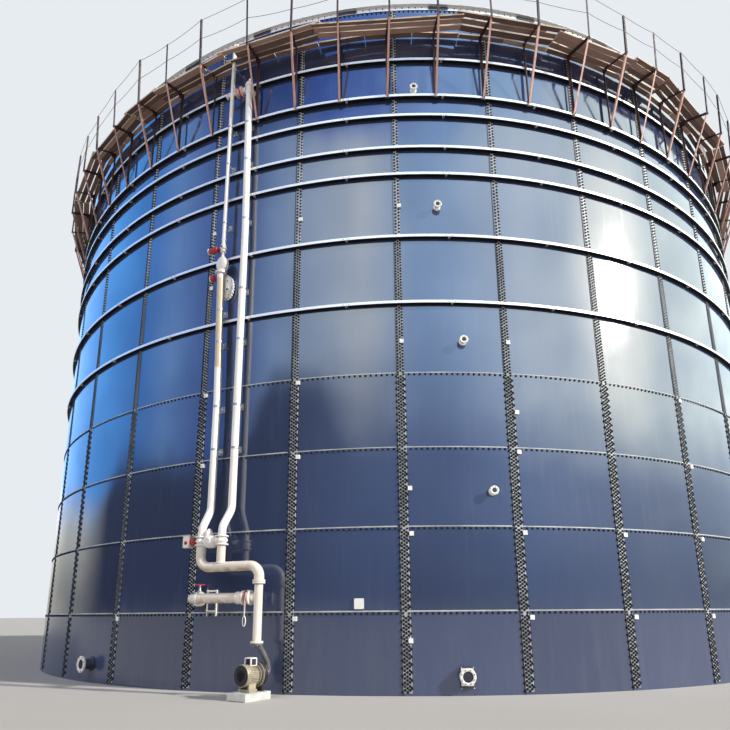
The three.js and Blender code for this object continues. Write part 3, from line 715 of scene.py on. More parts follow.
def makeWall():
    for piece in range(sheets["pieces"]):
        first = piece * sheets["panelsEach"]
        last = tank["panels"] if piece == sheets["pieces"] - 1 else first + sheets["panelsEach"]
        skin, caps, seals = Parts(), Parts(), Parts()
        places = {"low": [], "middle": [], "high": [], "seam": []}
        for panel in range(first, last):
            for course in range(tank["courses"]):
                skin.add(*sheetSkin(panel, course))
                places[boltKind(course)] += lapBolts(panel, course)
            for seam in range(tank["courses"]):
                places["seam"] += seamBolts(panel, seam)
        for kind in places:
            caps.addMany(*capForm(kind), places[kind])
        angles = [first * panelAngle + panelAngle / 6 * i for i in range((last - first) * 6 + 1)]
        for seam in strips["plainSeams"]:  # the pale bead on the lap's upper edge
            edge = seamLevel(seam) + sheets["topLap"]
            seals.add(*swept([(wallFace + out, edge + up) for out, up in strips["bead"]], angles))
        for panel in range(first, last):
            lapStrips(seals, panel)
        tag = f"{piece + 1:02d}"
        makePiece(f"sheets_{tag}", skin, [enamel], [f"wall_{tag}"], 50)
        makePiece(f"bolt_caps_{tag}", caps, [boltCap], (), 80)
        makePiece(f"lap_beads_{tag}", seals, [sealant, darkSealant, seamStripGlints])


makeWall()
print("wall made")

# Stiffener rings, in lengths that meet at a splice in the middle of each sheet
ring = {
    "courses": (4, 5, 6, 6.45, 7, 8),
    "reach": 0.075,
    "depth": 0.070,
    "leaf": 0.007,
    "gap": 0.005,
    "lip": 0.018,
    "shadeLining": (0.004, 0.003),
    "splicePlate": (0.16, 0.040, 0.006),
    "endPlate": (-0.018, 0.062, 0.007),
    "endSides": (-0.012, 0.012),
    "headSides": (-0.055, 0.055),
    "faceHeads": mm(11, 0, 11, 7, 7, 9),
    "topHeads": mm(12, 0, 12, 9, 8, 12),
    "bracketCourse": 7.34,
    "bracketReach": 0.085,
}
wallSide = tank["radius"] + 0.0005


def ringForms(level, reach):  # the parts of the rolled section, each with its finish
    leaf, foot = ring["leaf"], level - ring["lip"]
    inner, outer = wallSide, tank["radius"] + reach
    top, bottom = level + ring["depth"] / 2, level - ring["depth"] / 2
    back, face, under = inner + leaf, outer - leaf, top - leaf
    down, inward = ring["shadeLining"]
    shadeLining = [(back, under - down), (face - inward, under - down), (face - inward, foot + 0.002)]
    shadeLining += [(face, foot + 0.002), (face, under), (back, under)]
    return [
        ([(face, foot), (outer, foot), (outer, top), (face, top)], 0),
        ([(inner, under), (face, under), (face, top), (inner, top)], 0),
        # painted shade: the back leaf and a thin lining inside the hollow are near-black
        ([(inner, bottom), (back, bottom), (back, under), (inner, under)], 1),
        (shadeLining, 1),
    ]


def makeRing(name, level, reach, nodes):
    parts = Parts()
    outer, leaf = tank["radius"] + reach, ring["leaf"]
    top = level + ring["depth"] / 2
    gap = math.degrees(ring["gap"] / 2 / outer)
    shorter, deep, thick = ring["endPlate"]
    for panel in range(tank["panels"]):
        start, end = (panel - 0.5) * panelAngle + gap, (panel + 0.5) * panelAngle - gap
        angles = [start + (end - start) * i / 8 for i in range(9)]
        for form, mark in ringForms(level, reach):
            parts.add(*swept(form, angles), mark)
        middle = (panel + 0.5) * panelAngle
        right, out, up = tankAxes(middle)
        spot = onTank(middle, outer - leaf - 0.005, level + 0.006)
        parts.add(*slab(spot, right, up, out, ring["splicePlate"], 0.004), 1)
        for side in ring["endSides"]:  # the plates that the two lengths meet with
            spot = onTank(middle, (wallSide + outer) / 2, level - 0.002) + right * side
            parts.add(*slab(spot, out, up, right, (reach + shorter, deep, thick), 0.002))
        for side in ring["headSides"]:
            spot = onTank(middle, outer - 0.001, level + 0.006) + right * side
            heads(parts, [spot], out, ring["faceHeads"], 2)
            spot = onTank(middle, outer - 0.035, top - 0.001) + right * side
            heads(parts, [spot], up, ring["topHeads"], 2)
    makePiece(name, parts, [galvanised, blackPartsAndShade, nutSteel], nodes, 40)


for number, course in enumerate(ring["courses"]):
    makeRing(f"ring_{number + 1}", seamLevel(course), ring["reach"], [f"stiffener_ring_{number + 1}"])
makeRing("bracket_ring", seamLevel(ring["bracketCourse"]), ring["bracketReach"], ())

# Rim: an upright band with its bolts, a leaf outwards, and dark splice plates
rim = {
    "reach": 0.060,
    "bottom": wallTop - 0.010,
    "top": wallTop + 0.100,
    "leaf": 0.006,
    "boltsEach": 14,
    "boltRise": 0.055,
    "heads": mm(13, 0, 13, 10, 8, 13),
    "splice": (0.42, 0.075, 0.007),
    "spliceRise": 0.043,
}


def makeRim():
    parts = Parts()
    outer, back = tank["radius"] + rim["reach"], wallSide + rim["leaf"]
    bottom, top, under = rim["bottom"], rim["top"], rim["top"] - rim["leaf"]
    angles = [panelAngle / 6 * i for i in range(tank["panels"] * 6)]
    band = [(wallSide, bottom), (back, bottom), (back, top), (wallSide, top)]
    leaf = [(back, under), (outer, under), (outer, top), (back, top)]
    for form in (band, leaf):
        parts.add(*swept(form, angles, True))
    count = tank["panels"] * rim["boltsEach"]
    turns = [(i + 0.5) * panelAngle / rim["boltsEach"] for i in range(count)]
    head = spun(Vector((0, 0, 0)), Vector((0, 0, 1)), rim["heads"], 6)
    parts.addMany(*head, [capPlace(turn, back - 0.001, bottom + rim["boltRise"]) for turn in turns], 1)
    for panel in range(tank["panels"]):
        middle = (panel + 0.5) * panelAngle
        right, out, up = tankAxes(middle)
        spot = onTank(middle, back + 0.004, wallTop + rim["spliceRise"])
        parts.add(*slab(spot, right, up, out, rim["splice"], 0.004), 1)
    makePiece("rim_angle", parts, [galvanised, blackPartsAndShade], ["top_rim"], 40)


makeRim()
print("rings and rim made")

# Roof: gores with standing seams up to a crown plate
roof = {
    "edge": tank["radius"] + 0.055,
    "low": 14.1903,
    "rise": 1.0,
    "thick": 0.008,
    "crown": 0.70,
    "hole": 0.60,
    "steps": 4,
    "seam": mm(-12, 0, 12, 0, 9, 35, -9, 35),
    "bolts": 0.645,
}


def roofLevel(radius):
    return roof["low"] + roof["thick"] + (roof["edge"] - radius) * roof["rise"] / roof["edge"]


def makeRoof():
    parts = Parts()
    steps, edge = roof["steps"], roof["edge"]
    inner = roof["hole"]
    radii = [inner + (edge - inner) * i / steps for i in range(steps + 1)]
    for gore in range(tank["panels"]):
        start, end = gore * panelAngle, (gore + 1) * panelAngle
        spots = [(start + (end - start) * i / steps, r) for r in radii for i in range(steps + 1)]
        above = [onTank(angle, r, roofLevel(r) - 0.002 * (gore % 2)) for angle, r in spots]
        below = [onTank(angle, r, roofLevel(r) - roof["thick"]) for angle, r in spots]
        parts.add(*shell(above, below, steps, steps))
        right, _, up = tankAxes(start)
        foot, head = [onTank(start, r, roofLevel(r) - 0.003) for r in (edge - 0.02, inner + 0.05)]
        parts.add(*prism(roof["seam"], foot, right, up, head - foot))
    makePiece("roof_gores", parts, [roofSheet], ["roof_cone"], 30)


def makeCrown():
    parts = Parts()
    crown, up = roof["crown"], Vector((0, 0, 1))
    base = Vector((0, 0, roofLevel(roof["hole"]) + 0.0003))
    profile = [(crown - 0.004, 0), (crown - 0.004, 0.03), (crown - 0.02, 0.036), (crown - 0.07, 0.075)]
    parts.add(*spun(base, up, profile + mm(200, 88, 0, 90), 2 * tank["panels"]))
    boltRing(parts, base + Vector((0, 0, 0.055)), up, roof["bolts"], tank["panels"], 0.012, 0.014)
    makePiece("crown_plate", parts, [roofSheet, nutSteel], ["roof_crown"], 30)


makeRoof()
makeCrown()
print("roof made")

# Brackets and guard: rolled angles, one frame at every half sheet
platform = {
    "level": 13.30,
    "shift": -0.55,
    "first": -8,
    "sections": {"a": 18, "b": 16, "c": 18, "d": 16},  # frames in each quarter of the platform
    "pipeBracket": -3,
    "droop": 0.085,
    "reaches": [
        (-180, 11.45), (-90, 11.45), (-44, 11.42), (-16, 11.45), (10, 11.48), (22, 11.52), (48, 11.53),
        (90, 11.45), (180, 11.45),
    ],
    # how far frames are moved sideways, in bays, where it differs from the usual
    "offset": -0.04,
    "offsets": {-6: 0.0, -3: 0.0, -2: 0.0, 4: 0.03, 5: 0.03},
    # how far the outer ends stand to the right of their feet
    "skews": {
        -4: -0.03, -2: 0.065, -1: 0.065, 0: 0.08, 1: 0.03, 2: 0.07, 3: 0.055, 4: 0.10, 5: 0.07, 6: 0.02,
        7: 0.04, 8: 0.10,
    },
    "legIn": tank["radius"] + 0.076,
    "foot": 11.715,
    "leg": 0.045,
    "strut": 0.040,
    "gusset": mm(0, 0, 160, 0, 100, -130, 0, -130),
    "shoe": (0.10, 0.12, 0.010),
    "shoeHeads": mm(11, 0, 11, 9, 7, 12),
    "post": 0.040,
    "postTop": 14.36,
    "postHeads": mm(9, 0, 9, 12),
    "ropes": (0.97, 0.5),
    "rope": 0.005,
}


def bracketAngle(index):
    moved = platform["offsets"].get(index, platform["offset"]) * bayAngle
    return index * bayAngle + moved + (0 if index == platform["pipeBracket"] else platform["shift"])


def armReach(angle):
    angle = (angle + 180) % 360 - 180
    for (low, near), (high, far) in zip(platform["reaches"], platform["reaches"][1:]):
        if low <= angle <= high:
            return near + (far - near) * (angle - low) / (high - low)


def deckDrop(radius, reach):  # how far the arms droop at a radius
    return platform["droop"] * max(0.0, (radius - platform["legIn"]) / (reach - platform["legIn"]))


def postSpot(index, z):  # where a post's line is at a level; some posts lean outwards
    angle = bracketAngle(index)
    reach = armReach(angle)
    lean = 0.055 if 12 < abs(angle) < 75 else -0.005
    shift = math.degrees(platform["skews"].get(index, 0.0) / reach)
    return onTank(angle + shift, reach - 0.002 + lean * (z - platform["level"]), z)


frameCount = sum(platform["sections"].values())
postTops = {}
for index in range(platform["first"], platform["first"] + frameCount):
    postTops[index] = platform["postTop"] + rng.uniform(-0.22, 0.08)


def addFrame(parts, index):  # an upright leg, an arm, a strut, a gusset and the shoe on the bracket ring
    p = platform
    angle = bracketAngle(index)
    right, out, up = tankAxes(angle)
    arm, inside, level = armReach(angle), p["legIn"], p["level"]
    flip = right if index % 2 else -right
    skew = right * p["skews"].get(index, 0.0)
    base = onTank(angle, 0, 0) - flip * (p["leg"] / 2)
    foot, top = base + out * inside + up * p["foot"], base + out * inside + up * (level - 0.001)
    parts.add(*angleBar(foot, top, out, flip, p["leg"]))
    near = base + out * (inside + 0.002) + up * level
    far = base + out * arm + skew + up * (level - p["droop"])
    parts.add(*angleBar(near, far, -up, flip, p["leg"]))
    foot = base + flip * 0.006 + out * (inside + 0.030) + up * (p["foot"] + 0.01)
    top = base + flip * 0.006 + out * (arm - 0.012) + skew + up * (level - 0.012 - p["droop"])
    along = (top - foot).normalized()
    inward = (-(out - along * out.dot(along))).normalized()
    parts.add(*angleBar(foot, top, inward, flip, p["strut"]), 2)
    corner = base + out * (inside + 0.004) + up * (level - 0.006)
    parts.add(*prism(p["gusset"], corner, out, up, flip * 0.006))
    shoe = onTank(angle, inside - 0.004, p["foot"] + 0.03)
    parts.add(*slab(shoe, right, up, out, p["shoe"], 0.004))
    heads(parts, [shoe + right * side + out * 0.004 for side in (-0.032, 0.032)], out, p["shoeHeads"])


def addPost(parts, index):
    p = platform
    right, out, up = tankAxes(bracketAngle(index))
    flip = right if index % 2 else -right
    foot = postSpot(index, p["level"] - p["droop"] - 0.05) - flip * (p["leg"] / 2)
    top = postSpot(index, postTops[index]) - flip * (p["leg"] / 2) + right * rng.uniform(-0.010, 0.010)
    parts.add(*angleBar(foot, top, -out, flip, p["post"]))
    heads(parts, [foot + up * 0.02 - out * 0.02 - flip * 0.004], flip, p["postHeads"])


def ropePath(indices, share):  # from post to post, with a little sag in each span
    p = platform
    path = []
    for index in indices:
        following = index + 1 if index + 1 in postTops else p["first"]
        here = postSpot(index, p["level"] + (postTops[index] - p["level"]) * share)
        there = postSpot(index + 1, p["level"] + (postTops[following] - p["level"]) * share)
        sag = rng.uniform(0.004, 0.045)
        for step in range(5):
            t = step / 5
            path.append(here.lerp(there, t) - Vector((0, 0, sag * 4 * t * (1 - t))))
    return path + [there]


def makeBrackets():
    first = platform["first"]
    for letter, bays in platform["sections"].items():
        frames, posts, ropes = Parts(), Parts(), Parts()
        for index in range(first, first + bays):
            addFrame(frames, index)
            addPost(posts, index)
        # painted shade on the legs and arms, painted light on the struts
        finishes = [shadedBracketSteel, nutSteel, sunlitStrutSteel]
        makePiece(f"brackets_{letter}", frames, finishes, [f"bracket_ring_{letter}"], 35)
        for share in platform["ropes"]:
            ropes.add(*tube(ropePath(range(first, first + bays), share), platform["rope"], 6))
        finishes = [shadedPostSteel, nutSteel]
        makePiece(f"guard_posts_{letter}", posts, finishes, [f"guard_rail_{letter}"], 35)
        makePiece(f"guard_ropes_{letter}", ropes, [ropeWire])
        first += bays


makeBrackets()
print("brackets and guard made")

# Boards: straight planks laid side by side over one to three bays
boards = {
    "bottom": 13.302,
    "thick": 0.036,
    "inside": 10.834,
    "edge": -0.045,
    "hugging": 0.105,  # width of the short boards along the wall
    "start": 0.112,
    "step": 0.002,
    "gaps": (0.010, 0.016, 0.024, 0.032, 0.040),
    "widths": (0.10, 0.12, 0.13, 0.15),
    "lifts": (0, 0, 0.002, 0.006),
    "loose": 0.8,  # share of the runs with a loose board on top
    "looseThick": 0.030,
    # lengths missing from the left and right ends of a run's second board
    "notches": {("a", 2): (0, 0.80), ("a", 3): (0.36, 0)},
    "runs": {
        "a": (2, 1, 2, 2, 3, 2, 2, 1, 3),
        "b": (2, 3, 1, 2, 2, 2, 2, 2),
        "c": (3, 2, 2, 1, 2, 3, 2, 3),
        "d": (2, 2, 3, 1, 2, 2, 2, 2),
    },
}
broadFaces = (2, 3, 5, 6, 7, 9)  # the flat ones keep the weathered look; sides and ends are paler sawn wood, painted paler still as a highlight along the edges


def plank(parts, center, along, across, size, lift, skew, slope=0.0):  # the size is width, thickness, length
    turned = (along + across * skew + Vector((0, 0, rng.uniform(-0.006, 0.006)))).normalized()
    side = (Vector((0, 0, 1)).cross(turned) + Vector((0, 0, slope))).normalized()
    middle = center + Vector((0, 0, lift + size[1] / 2))
    start = (rng.uniform(0, 40), rng.uniform(0, 9))
    points, faces = slab(middle, side, turned.cross(side), turned, size, 0.002)
    grain = []
    for point in points:
        place = point - center
        grain.append((start[0] + place.dot(turned), start[1] + place.dot(side) + place.z * 0.7))
    first = parts.count
    parts.add(points, [face for k, face in enumerate(faces) if k in broadFaces], 0, grain)
    sawn = [face for k, face in enumerate(faces) if k not in broadFaces]
    parts.faces.extend(tuple(first + i for i in face) for face in sawn)
    parts.marks.extend([1] * len(sawn))


def huggingBoards(parts, start, bays):  # the short boards that hug the wall
    b = boards
    for k in range(bays):
        right, out, up = tankAxes(start + (k + 0.5) * bayAngle)
        width = b["hugging"] + rng.uniform(-0.012, 0.010)
        span = 2 * b["inside"] * math.tan(math.radians(bayAngle / 2)) - rng.uniform(0.004, 0.030)
        center = out * (b["inside"] + 0.003 + width / 2) + up * b["bottom"]
        plank(parts, center, right, out, (width, b["thick"], span), rng.uniform(0, 0.004), 0)


def addRun(parts, start, bays, odd, notch):  # boards side by side from the wall to the posts
    b = boards
    end = start + bays * bayAngle
    right, out, up = tankAxes((start + end) / 2)
    half = math.radians((end - start) / 2)
    reach = armReach((start + end) / 2)
    slope = platform["droop"] / (reach - platform["legIn"])
    far = (reach + b["edge"]) * math.cos(half)
    raised = b["thick"] + b["step"] if odd else 0.0
    offset, lane = b["inside"] + b["start"], 0
    while offset < far - 0.06:
        width = min(rng.choice(b["widths"]), far - offset)
        gap = rng.choice(b["gaps"])
        place = offset + width / 2
        skew = rng.uniform(-0.006, 0.006)
        span = 2 * place * math.tan(half) + (rng.uniform(0.06, 0.34) if odd else rng.uniform(-0.05, 0.05))
        center = out * place + up * b["bottom"] + right * rng.uniform(-0.03, 0.03)
        cuts = notch if lane == 1 else (0, 0)
        span, center = span - sum(cuts), center + right * (cuts[0] - cuts[1]) / 2
        lift = raised + rng.choice(b["lifts"]) - deckDrop(place, reach)
        plank(parts, center, right, out, (width, b["thick"], span), lift, skew, slope)
        offset += width + gap
        lane += 1
    if rng.random() < b["loose"]:  # a loose board on top, askew
        place = rng.uniform(b["inside"] + 0.16, far - 0.08)
        center = out * place + up * b["bottom"] + right * rng.uniform(-0.4, 0.4)
        length, width = rng.uniform(0.9, 1.9), rng.uniform(0.10, 0.16)
        lift = raised + b["thick"] + 0.008 - deckDrop(place, reach)
        size = (width, b["looseThick"], length)
        plank(parts, center, right, out, size, lift, rng.uniform(-0.10, 0.10), slope)


def makeBoards():
    first = platform["first"] - 0.5
    for letter, runs in boards["runs"].items():
        parts = Parts()
        for run, bays in enumerate(runs):
            start = first * bayAngle + platform["shift"]
            huggingBoards(parts, start, bays)
            addRun(parts, start, bays, run % 2, boards["notches"].get((letter, run), (0, 0)))
            first += bays
        makePiece(f"boards_{letter}", parts, [timber, sawnEdgeHighlight], [f"deck_{letter}"], 30)


makeBoards()
print("boards made")

# Pipework on the third sheet to the left, measured from its flat wall facet
loop = {
    "turn": -3.5 * bayAngle,
    "foot": tank["radius"] * math.cos(math.radians(bayAngle / 2)),
    "leftX": -0.020,
    "thinX": -0.075,
    "rightX": 0.400,
    "dropX": 1.180,
    "pipeOut": 0.200,
    "rightOut": 0.160,
    "loopOut": 0.415,
    "pipe": 0.070,
    "thin": 0.0435,
    "main": 0.085,
    "drop": 0.071,
    "mainFlange": (0.106, 0.033),
    "bandDepth": 0.012,
    "branchLevel": 1.57,
}
loopRight, loopOut, skyward = tankAxes(loop["turn"])


def at(x, out, z):  # a place by how far it lies to the right, out of the wall and up
    return loopRight * x + loopOut * (loop["foot"] + out) + Vector((0, 0, z))


def flange(parts, center, axis, radius, depth, count=8, mark=0, head=0.012):
    axis = axis.normalized()
    parts.add(*disc(center, axis, radius, depth), mark)
    circle = radius - head * 1.7
    boltRing(parts, center + axis * (depth - 0.001), axis, circle, count, head, head * 0.8)
    boltRing(parts, center + axis * 0.001, -axis, circle, count, head, head * 0.8)


def valveBody(parts, start, axis, radius, length):  # two flanges with a cast waist
    axis = axis.normalized()
    leaf = min(0.024, length * 0.16)
    shares = [(0.72, 0.28), (0.90, 0.40), (0.90, 0.60), (0.72, 0.72)]
    waist = [(radius * wide, length * along) for wide, along in shares]
    parts.add(*spun(start, axis, [(radius * 0.66, leaf)] + waist + [(radius * 0.66, length - leaf)], 28))
    for along in (0, length - leaf):
        parts.add(*disc(start + axis * along, axis, radius, leaf))
    boltRing(parts, start + axis * leaf, axis, radius * 0.84, 8, 0.010, 0.011)
    boltRing(parts, start + axis * (length - leaf), -axis, radius * 0.84, 8, 0.010, 0.011)


def oval(center, wide, tall, count):  # places on an upright oval, facing out of the wall
    turns = [2 * math.pi * (k + 0.5) / count for k in range(count)]
    steps = [(wide * math.cos(turn), tall * math.sin(turn)) for turn in turns]
    return [center + loopRight * across + skyward * rise for across, rise in steps]


def stretch(points, level, share):  # makes a round form taller
    for point in points:
        point.z = level + (point.z - level) * share


# Risers: both thick ones lean to the left above a certain level
risers = {
    "bend": 0.24,
    "feet": (3.15, 2.80, 2.646),  # the levels of the two bends out to the loop, and of the end
    "left": {"x": loop["leftX"], "leanFrom": 5.30, "leanOver": 2.765, "lean": 0.090},
    "right": {"x": loop["rightX"], "leanFrom": 8.90, "leanOver": 3.70, "lean": 0.070},
    "leftHead": 8.064,
    "leftFlange": (0.113, 0.040),
    "leftJoints": (3.60, 5.90, 7.45),
    "leftClamps": (4.30, 5.15, 6.50, 7.20),
    "thinFoot": 8.706,
    "thinHead": 13.86,
    "thinClamps": (9.20, 10.65, 11.60),
    "thinCollars": (13.74, 8.80),
    "union": mm(30, 0, 44, 4, 44, 30, 34, 34, 34, 142, 44, 146, 44, 172, 30, 176),
    "rightHead": 12.575,
    "elbow": 12.52,
    "elbowRadius": 0.067,
    "dome": mm(82, 0, 89, 6, 89, 54, 82, 62, 76, 82, 64, 112, 46, 140, 26, 160, 21, 166, 21, 212, 14, 219),
    "domeFoot": 12.560,
    "neckBand": 12.36,
    "rightJoints": (4.10, 6.40, 8.70, 11.00),
    "rightClamps": (4.30, 5.15, 6.50, 7.60, 9.20, 10.65, 11.60),
    "jointRise": 0.003,
    "clampFoot": (0.09, 0.13, 0.010),
    "clampArm": 0.030,
    "clampBand": 0.044,
    "clampHeads": mm(11, 0, 11, 9, 7, 12),
}


def riserAt(side, z):
    lean = risers[side]
    return lean["x"] - lean["lean"] * max(0, z - lean["leanFrom"]) / lean["leanOver"]


def clamp(parts, x, out, z, radius):  # a band, an arm and a foot on the wall
    band, arm = risers["clampBand"], risers["clampArm"]
    parts.add(*disc(at(x, out, z) - skyward * (band / 2), skyward, radius + 0.006, band), 1)
    parts.add(*slab(at(x, out / 2, z), loopRight, skyward, loopOut, (arm, arm, out - 0.004), 0.004), 1)
    parts.add(*slab(at(x, 0.008, z), loopRight, skyward, loopOut, risers["clampFoot"], 0.005), 1)
    heads(parts, [at(x, 0.012, z + side) for side in (-0.045, 0.045)], loopOut, risers["clampHeads"])


def riserPipe(parts, side, out, head):  # a thick riser from its head down to the loop
    down, swing, end = risers["feet"]
    x, reach = risers[side]["x"], loop["loopOut"]
    knee = at(x, out, risers[side]["leanFrom"])
    corners = [head, knee, at(x, out, down), at(x, reach, swing), at(x, reach, end)]
    parts.add(*tube(runPoints(corners, risers["bend"], 8), loop["pipe"], 28))


def riserBands(parts, side, out):  # its joints and the clamps that hold it
    for z in risers[side + "Joints"]:
        parts.add(*disc(at(riserAt(side, z), out, z), skyward, loop["pipe"] + risers["jointRise"], 0.010))
    for z in risers[side + "Clamps"]:
        clamp(parts, riserAt(side, z), out, z, loop["pipe"])


def makeLeftRiser():
    parts = Parts()
    top, out = risers["leftHead"], loop["pipeOut"]
    riserPipe(parts, "left", out, at(riserAt("left", top), out, top))
    radius, depth = risers["leftFlange"]
    flange(parts, at(riserAt("left", top - 0.004), out, top - depth), skyward, radius, depth, 8, 2)
    riserBands(parts, "left", out)
    makePiece("left_riser_pipe", parts, [tanPipe, nutSteel, flangePaint], ["left_riser"], 40)


def makeThinRiser():
    parts = Parts()
    r, x, out, top = risers, loop["thinX"], loop["pipeOut"], risers["thinHead"]
    corners = [at(x, out, r["thinFoot"]), at(x, out, top), at(x, 0.004, top)]
    parts.add(*tube(runPoints(corners, 0.075, 8), loop["thin"], 24))
    parts.add(*spun(at(x - 0.088, out, top - 0.07), loopRight, r["union"], 20))
    for z in r["thinCollars"]:
        parts.add(*disc(at(x, out, z), skyward, 0.052, 0.030))
    for z in r["thinClamps"]:
        clamp(parts, x, out, z, loop["thin"])
    makePiece("thin_riser_pipe", parts, [whitePipe, nutSteel], ["thin_riser"], 40)


def makeRightRiser():
    parts = Parts()
    r, out, level = risers, loop["rightOut"], risers["elbow"]
    x = riserAt("right", level + 0.01)
    riserPipe(parts, "right", out, at(x, out, r["rightHead"]))
    parts.add(*tube([at(x, 0.003, level), at(x, out, level)], r["elbowRadius"], 26))
    parts.add(*disc(at(x, 0.002, level), loopOut, 0.084, 0.022), 0)
    boltRing(parts, at(x, 0.022, level), loopOut, 0.077, 8, 0.008, 0.007)
    parts.add(*spun(at(x, out, r["domeFoot"]), skyward, r["dome"], 28))
    z = r["neckBand"]
    parts.add(*disc(at(riserAt("right", z), out, z), skyward, loop["pipe"] + 0.008, 0.050))
    riserBands(parts, "right", out)
    makePiece("right_riser_pipe", parts, [whitePipe, nutSteel], ["right_riser"], 40)


checkValve = {
    "foot": 8.0655,
    "footX": -0.0925,
    "plate": mm(98, 0, 98, 22, 90, 28, 55, 46, 40, 50),
    "stem": 0.030,
    "drumX": -0.085,
    "drumOut": 0.141,
    "drumLevel": 0.180,
    "drum": mm(90, 0, 124, 10, 124, 34, 113, 42, 113, 64, 124, 72, 124, 90, 108, 104, 66, 116, 0, 118),
    "drumTall": 1.32,
    "heads": mm(9, 0, 9, 7, 6, 9),
    # level, radius and depth of the bands above the drum
    "bands": [(0.458, 0.058, 0.028), (0.585, 0.060, 0.024), (0.615, 0.052, 0.022), (0.335, 0.044, 0.030)],
}


def makeCheckValve():
    c = checkValve
    parts = Parts()
    base, out, x = c["foot"], loop["pipeOut"], loop["thinX"]
    parts.add(*spun(at(c["footX"], out, base), skyward, c["plate"], 28), 3)
    boltRing(parts, at(c["footX"], out, base + 0.021), skyward, 0.086, 8, 0.009, 0.009)
    parts.add(*tube([at(x, out, base + 0.03), at(x, out, base + 0.639)], c["stem"], 20))
    center = base + c["drumLevel"]
    bulb, bulbFaces = spun(at(c["drumX"], c["drumOut"], center), loopOut, c["drum"], 36)
    stretch(bulb, center, c["drumTall"])
    parts.add(bulb, bulbFaces)
    front = at(c["drumX"], c["drumOut"] + 0.090, center)
    heads(parts, oval(front, 0.112, 0.146, 10), loopOut, c["heads"])
    parts.add(*disc(at(c["drumX"], 0.254, center), loopOut, 0.045, 0.0035, 0.001), 2)
    turns = [math.pi * step / 8 for step in range(1, 8)]
    ball = [(0.030 + 0.042 * math.sin(turn), 0.045 - 0.035 * math.cos(turn)) for turn in turns]
    parts.add(*spun(at(x, out, base + 0.503), skyward, mm(34, 0, 34, 10) + ball + mm(34, 80, 34, 90), 24))
    for level, radius, depth in c["bands"]:
        parts.add(*disc(at(x, out, base + level), skyward, radius, depth))
    spot = at(x, out + 0.066, base + 0.548)
    parts.add(*slab(spot, loopRight, skyward, loopOut, (0.036, 0.030, 0.020), 0.004), 2)
    finishes = [whitePipe, nutSteel, blackGasket, flangePaint]
    makePiece("check_valve", parts, finishes, ["riser_check_valve"], 40)


redValves = [  # name, node, place to the right, level, length
    ("red_valve_upper", "upper_red_valve", loop["thinX"] - 0.0535, 8.6133, 0.305),
    ("red_valve_lower", "lower_red_valve", -0.1753, 7.96, 0.170),
]
redBody = {"neck": 0.066, "radius": 0.065, "ribs": 4}


def makeRedValve(name, node, x, z, length):  # a neck, a drum with ribs above and below, and a pale end
    parts = Parts()
    start, way = at(x, loop["pipeOut"], z), -loopRight
    neck, radius = redBody["neck"], redBody["radius"]
    drum = length - neck
    body = [(0.022, 0), (0.018, 0.010), (0.018, neck - 0.004), (radius * 0.7, neck), (radius, neck + 0.014)]
    body += [(radius, neck + drum * 0.62), (radius * 0.82, neck + drum * 0.74)]
    parts.add(*spun(start, way, body + [(radius * 0.82, length - 0.018)], 24))
    parts.add(*disc(start + way * (length - 0.020), way, radius * 0.98, 0.019), 1)
    for side in (-1, 1):
        for k in range(redBody["ribs"]):
            spot = start + way * (neck + 0.022 + k * drum * 0.14) + skyward * (side * (radius - 0.004))
            parts.add(*slab(spot, way, loopOut, skyward, (0.008, radius * 0.8, 0.010)))
    makePiece(name, parts, [redPaint, whitePipe], [node], 40)


roundValve = {
    "x": -0.040,
    "level": 7.765,
    "half": 0.168,
    "tall": 0.270,
    "tooth": 0.018,
    "layers": [(0.031, 0.036), (0.066, 0.030), (0.095, 0.026)],  # the middle one is narrower
    "bulge": mm(80, -4, 80, 12, 72, 26, 56, 38, 32, 47, 0, 50),
    "bulgeTall": 2.45,
    "flute": 0.007,
    "windows": [(-0.098, 0.040), (0.088, 0.034)],
    "heads": mm(11, 0, 11, 8, 8, 11),
}


def makeRoundValve():  # a round body behind the left riser, toothed at its right rim
    v = roundValve
    parts = Parts()
    x, middle = v["x"], v["level"]
    outline = []
    for k in range(96):
        turn = 2 * math.pi * k / 96
        reach = v["tooth"] if k % 4 < 2 and (k < 30 or k > 66) else 0.0
        wide, tall = v["half"] - v["tooth"] + reach, v["tall"] - v["tooth"] + reach
        outline.append((wide * math.cos(turn), tall * math.sin(turn)))
    inner = [(a * 0.86, b * 0.88) for a, b in outline[::2]]
    for form, (out, depth) in zip((outline, inner, outline), v["layers"]):
        parts.add(*prism(form, at(x, out, middle), loopRight, skyward, loopOut * depth))
    front, frontFaces = spun(at(x + 0.084, 0.119, middle), loopOut, v["bulge"], 48)
    stretch(front, middle, v["bulgeTall"])
    for k in range(96, len(front)):  # shallow flutes, in front of the two rows at the rim
        if k % 4 < 2:
            front[k] -= loopOut * v["flute"]
    parts.add(front, frontFaces)
    for level, radius in v["windows"]:
        spot = at(x + 0.078, 0.166, middle + level)
        rimmed = [(radius, -0.020), (radius, 0.006), (radius - 0.008, 0.009), (radius - 0.014, -0.002)]
        parts.add(*spun(spot, loopOut, rimmed + [(radius - 0.018, -0.003)], 28))
        parts.add(*disc(spot - loopOut * 0.002, loopOut, radius - 0.018, 0.0035, 0.001), 2)
    heads(parts, oval(at(x, 0.119, middle), 0.140, 0.240, 10), loopOut, v["heads"])
    finishes = [plateWhite, nutSteel, blackGasket]
    makePiece("round_valve", parts, finishes, ["round_valve_body"], 35)


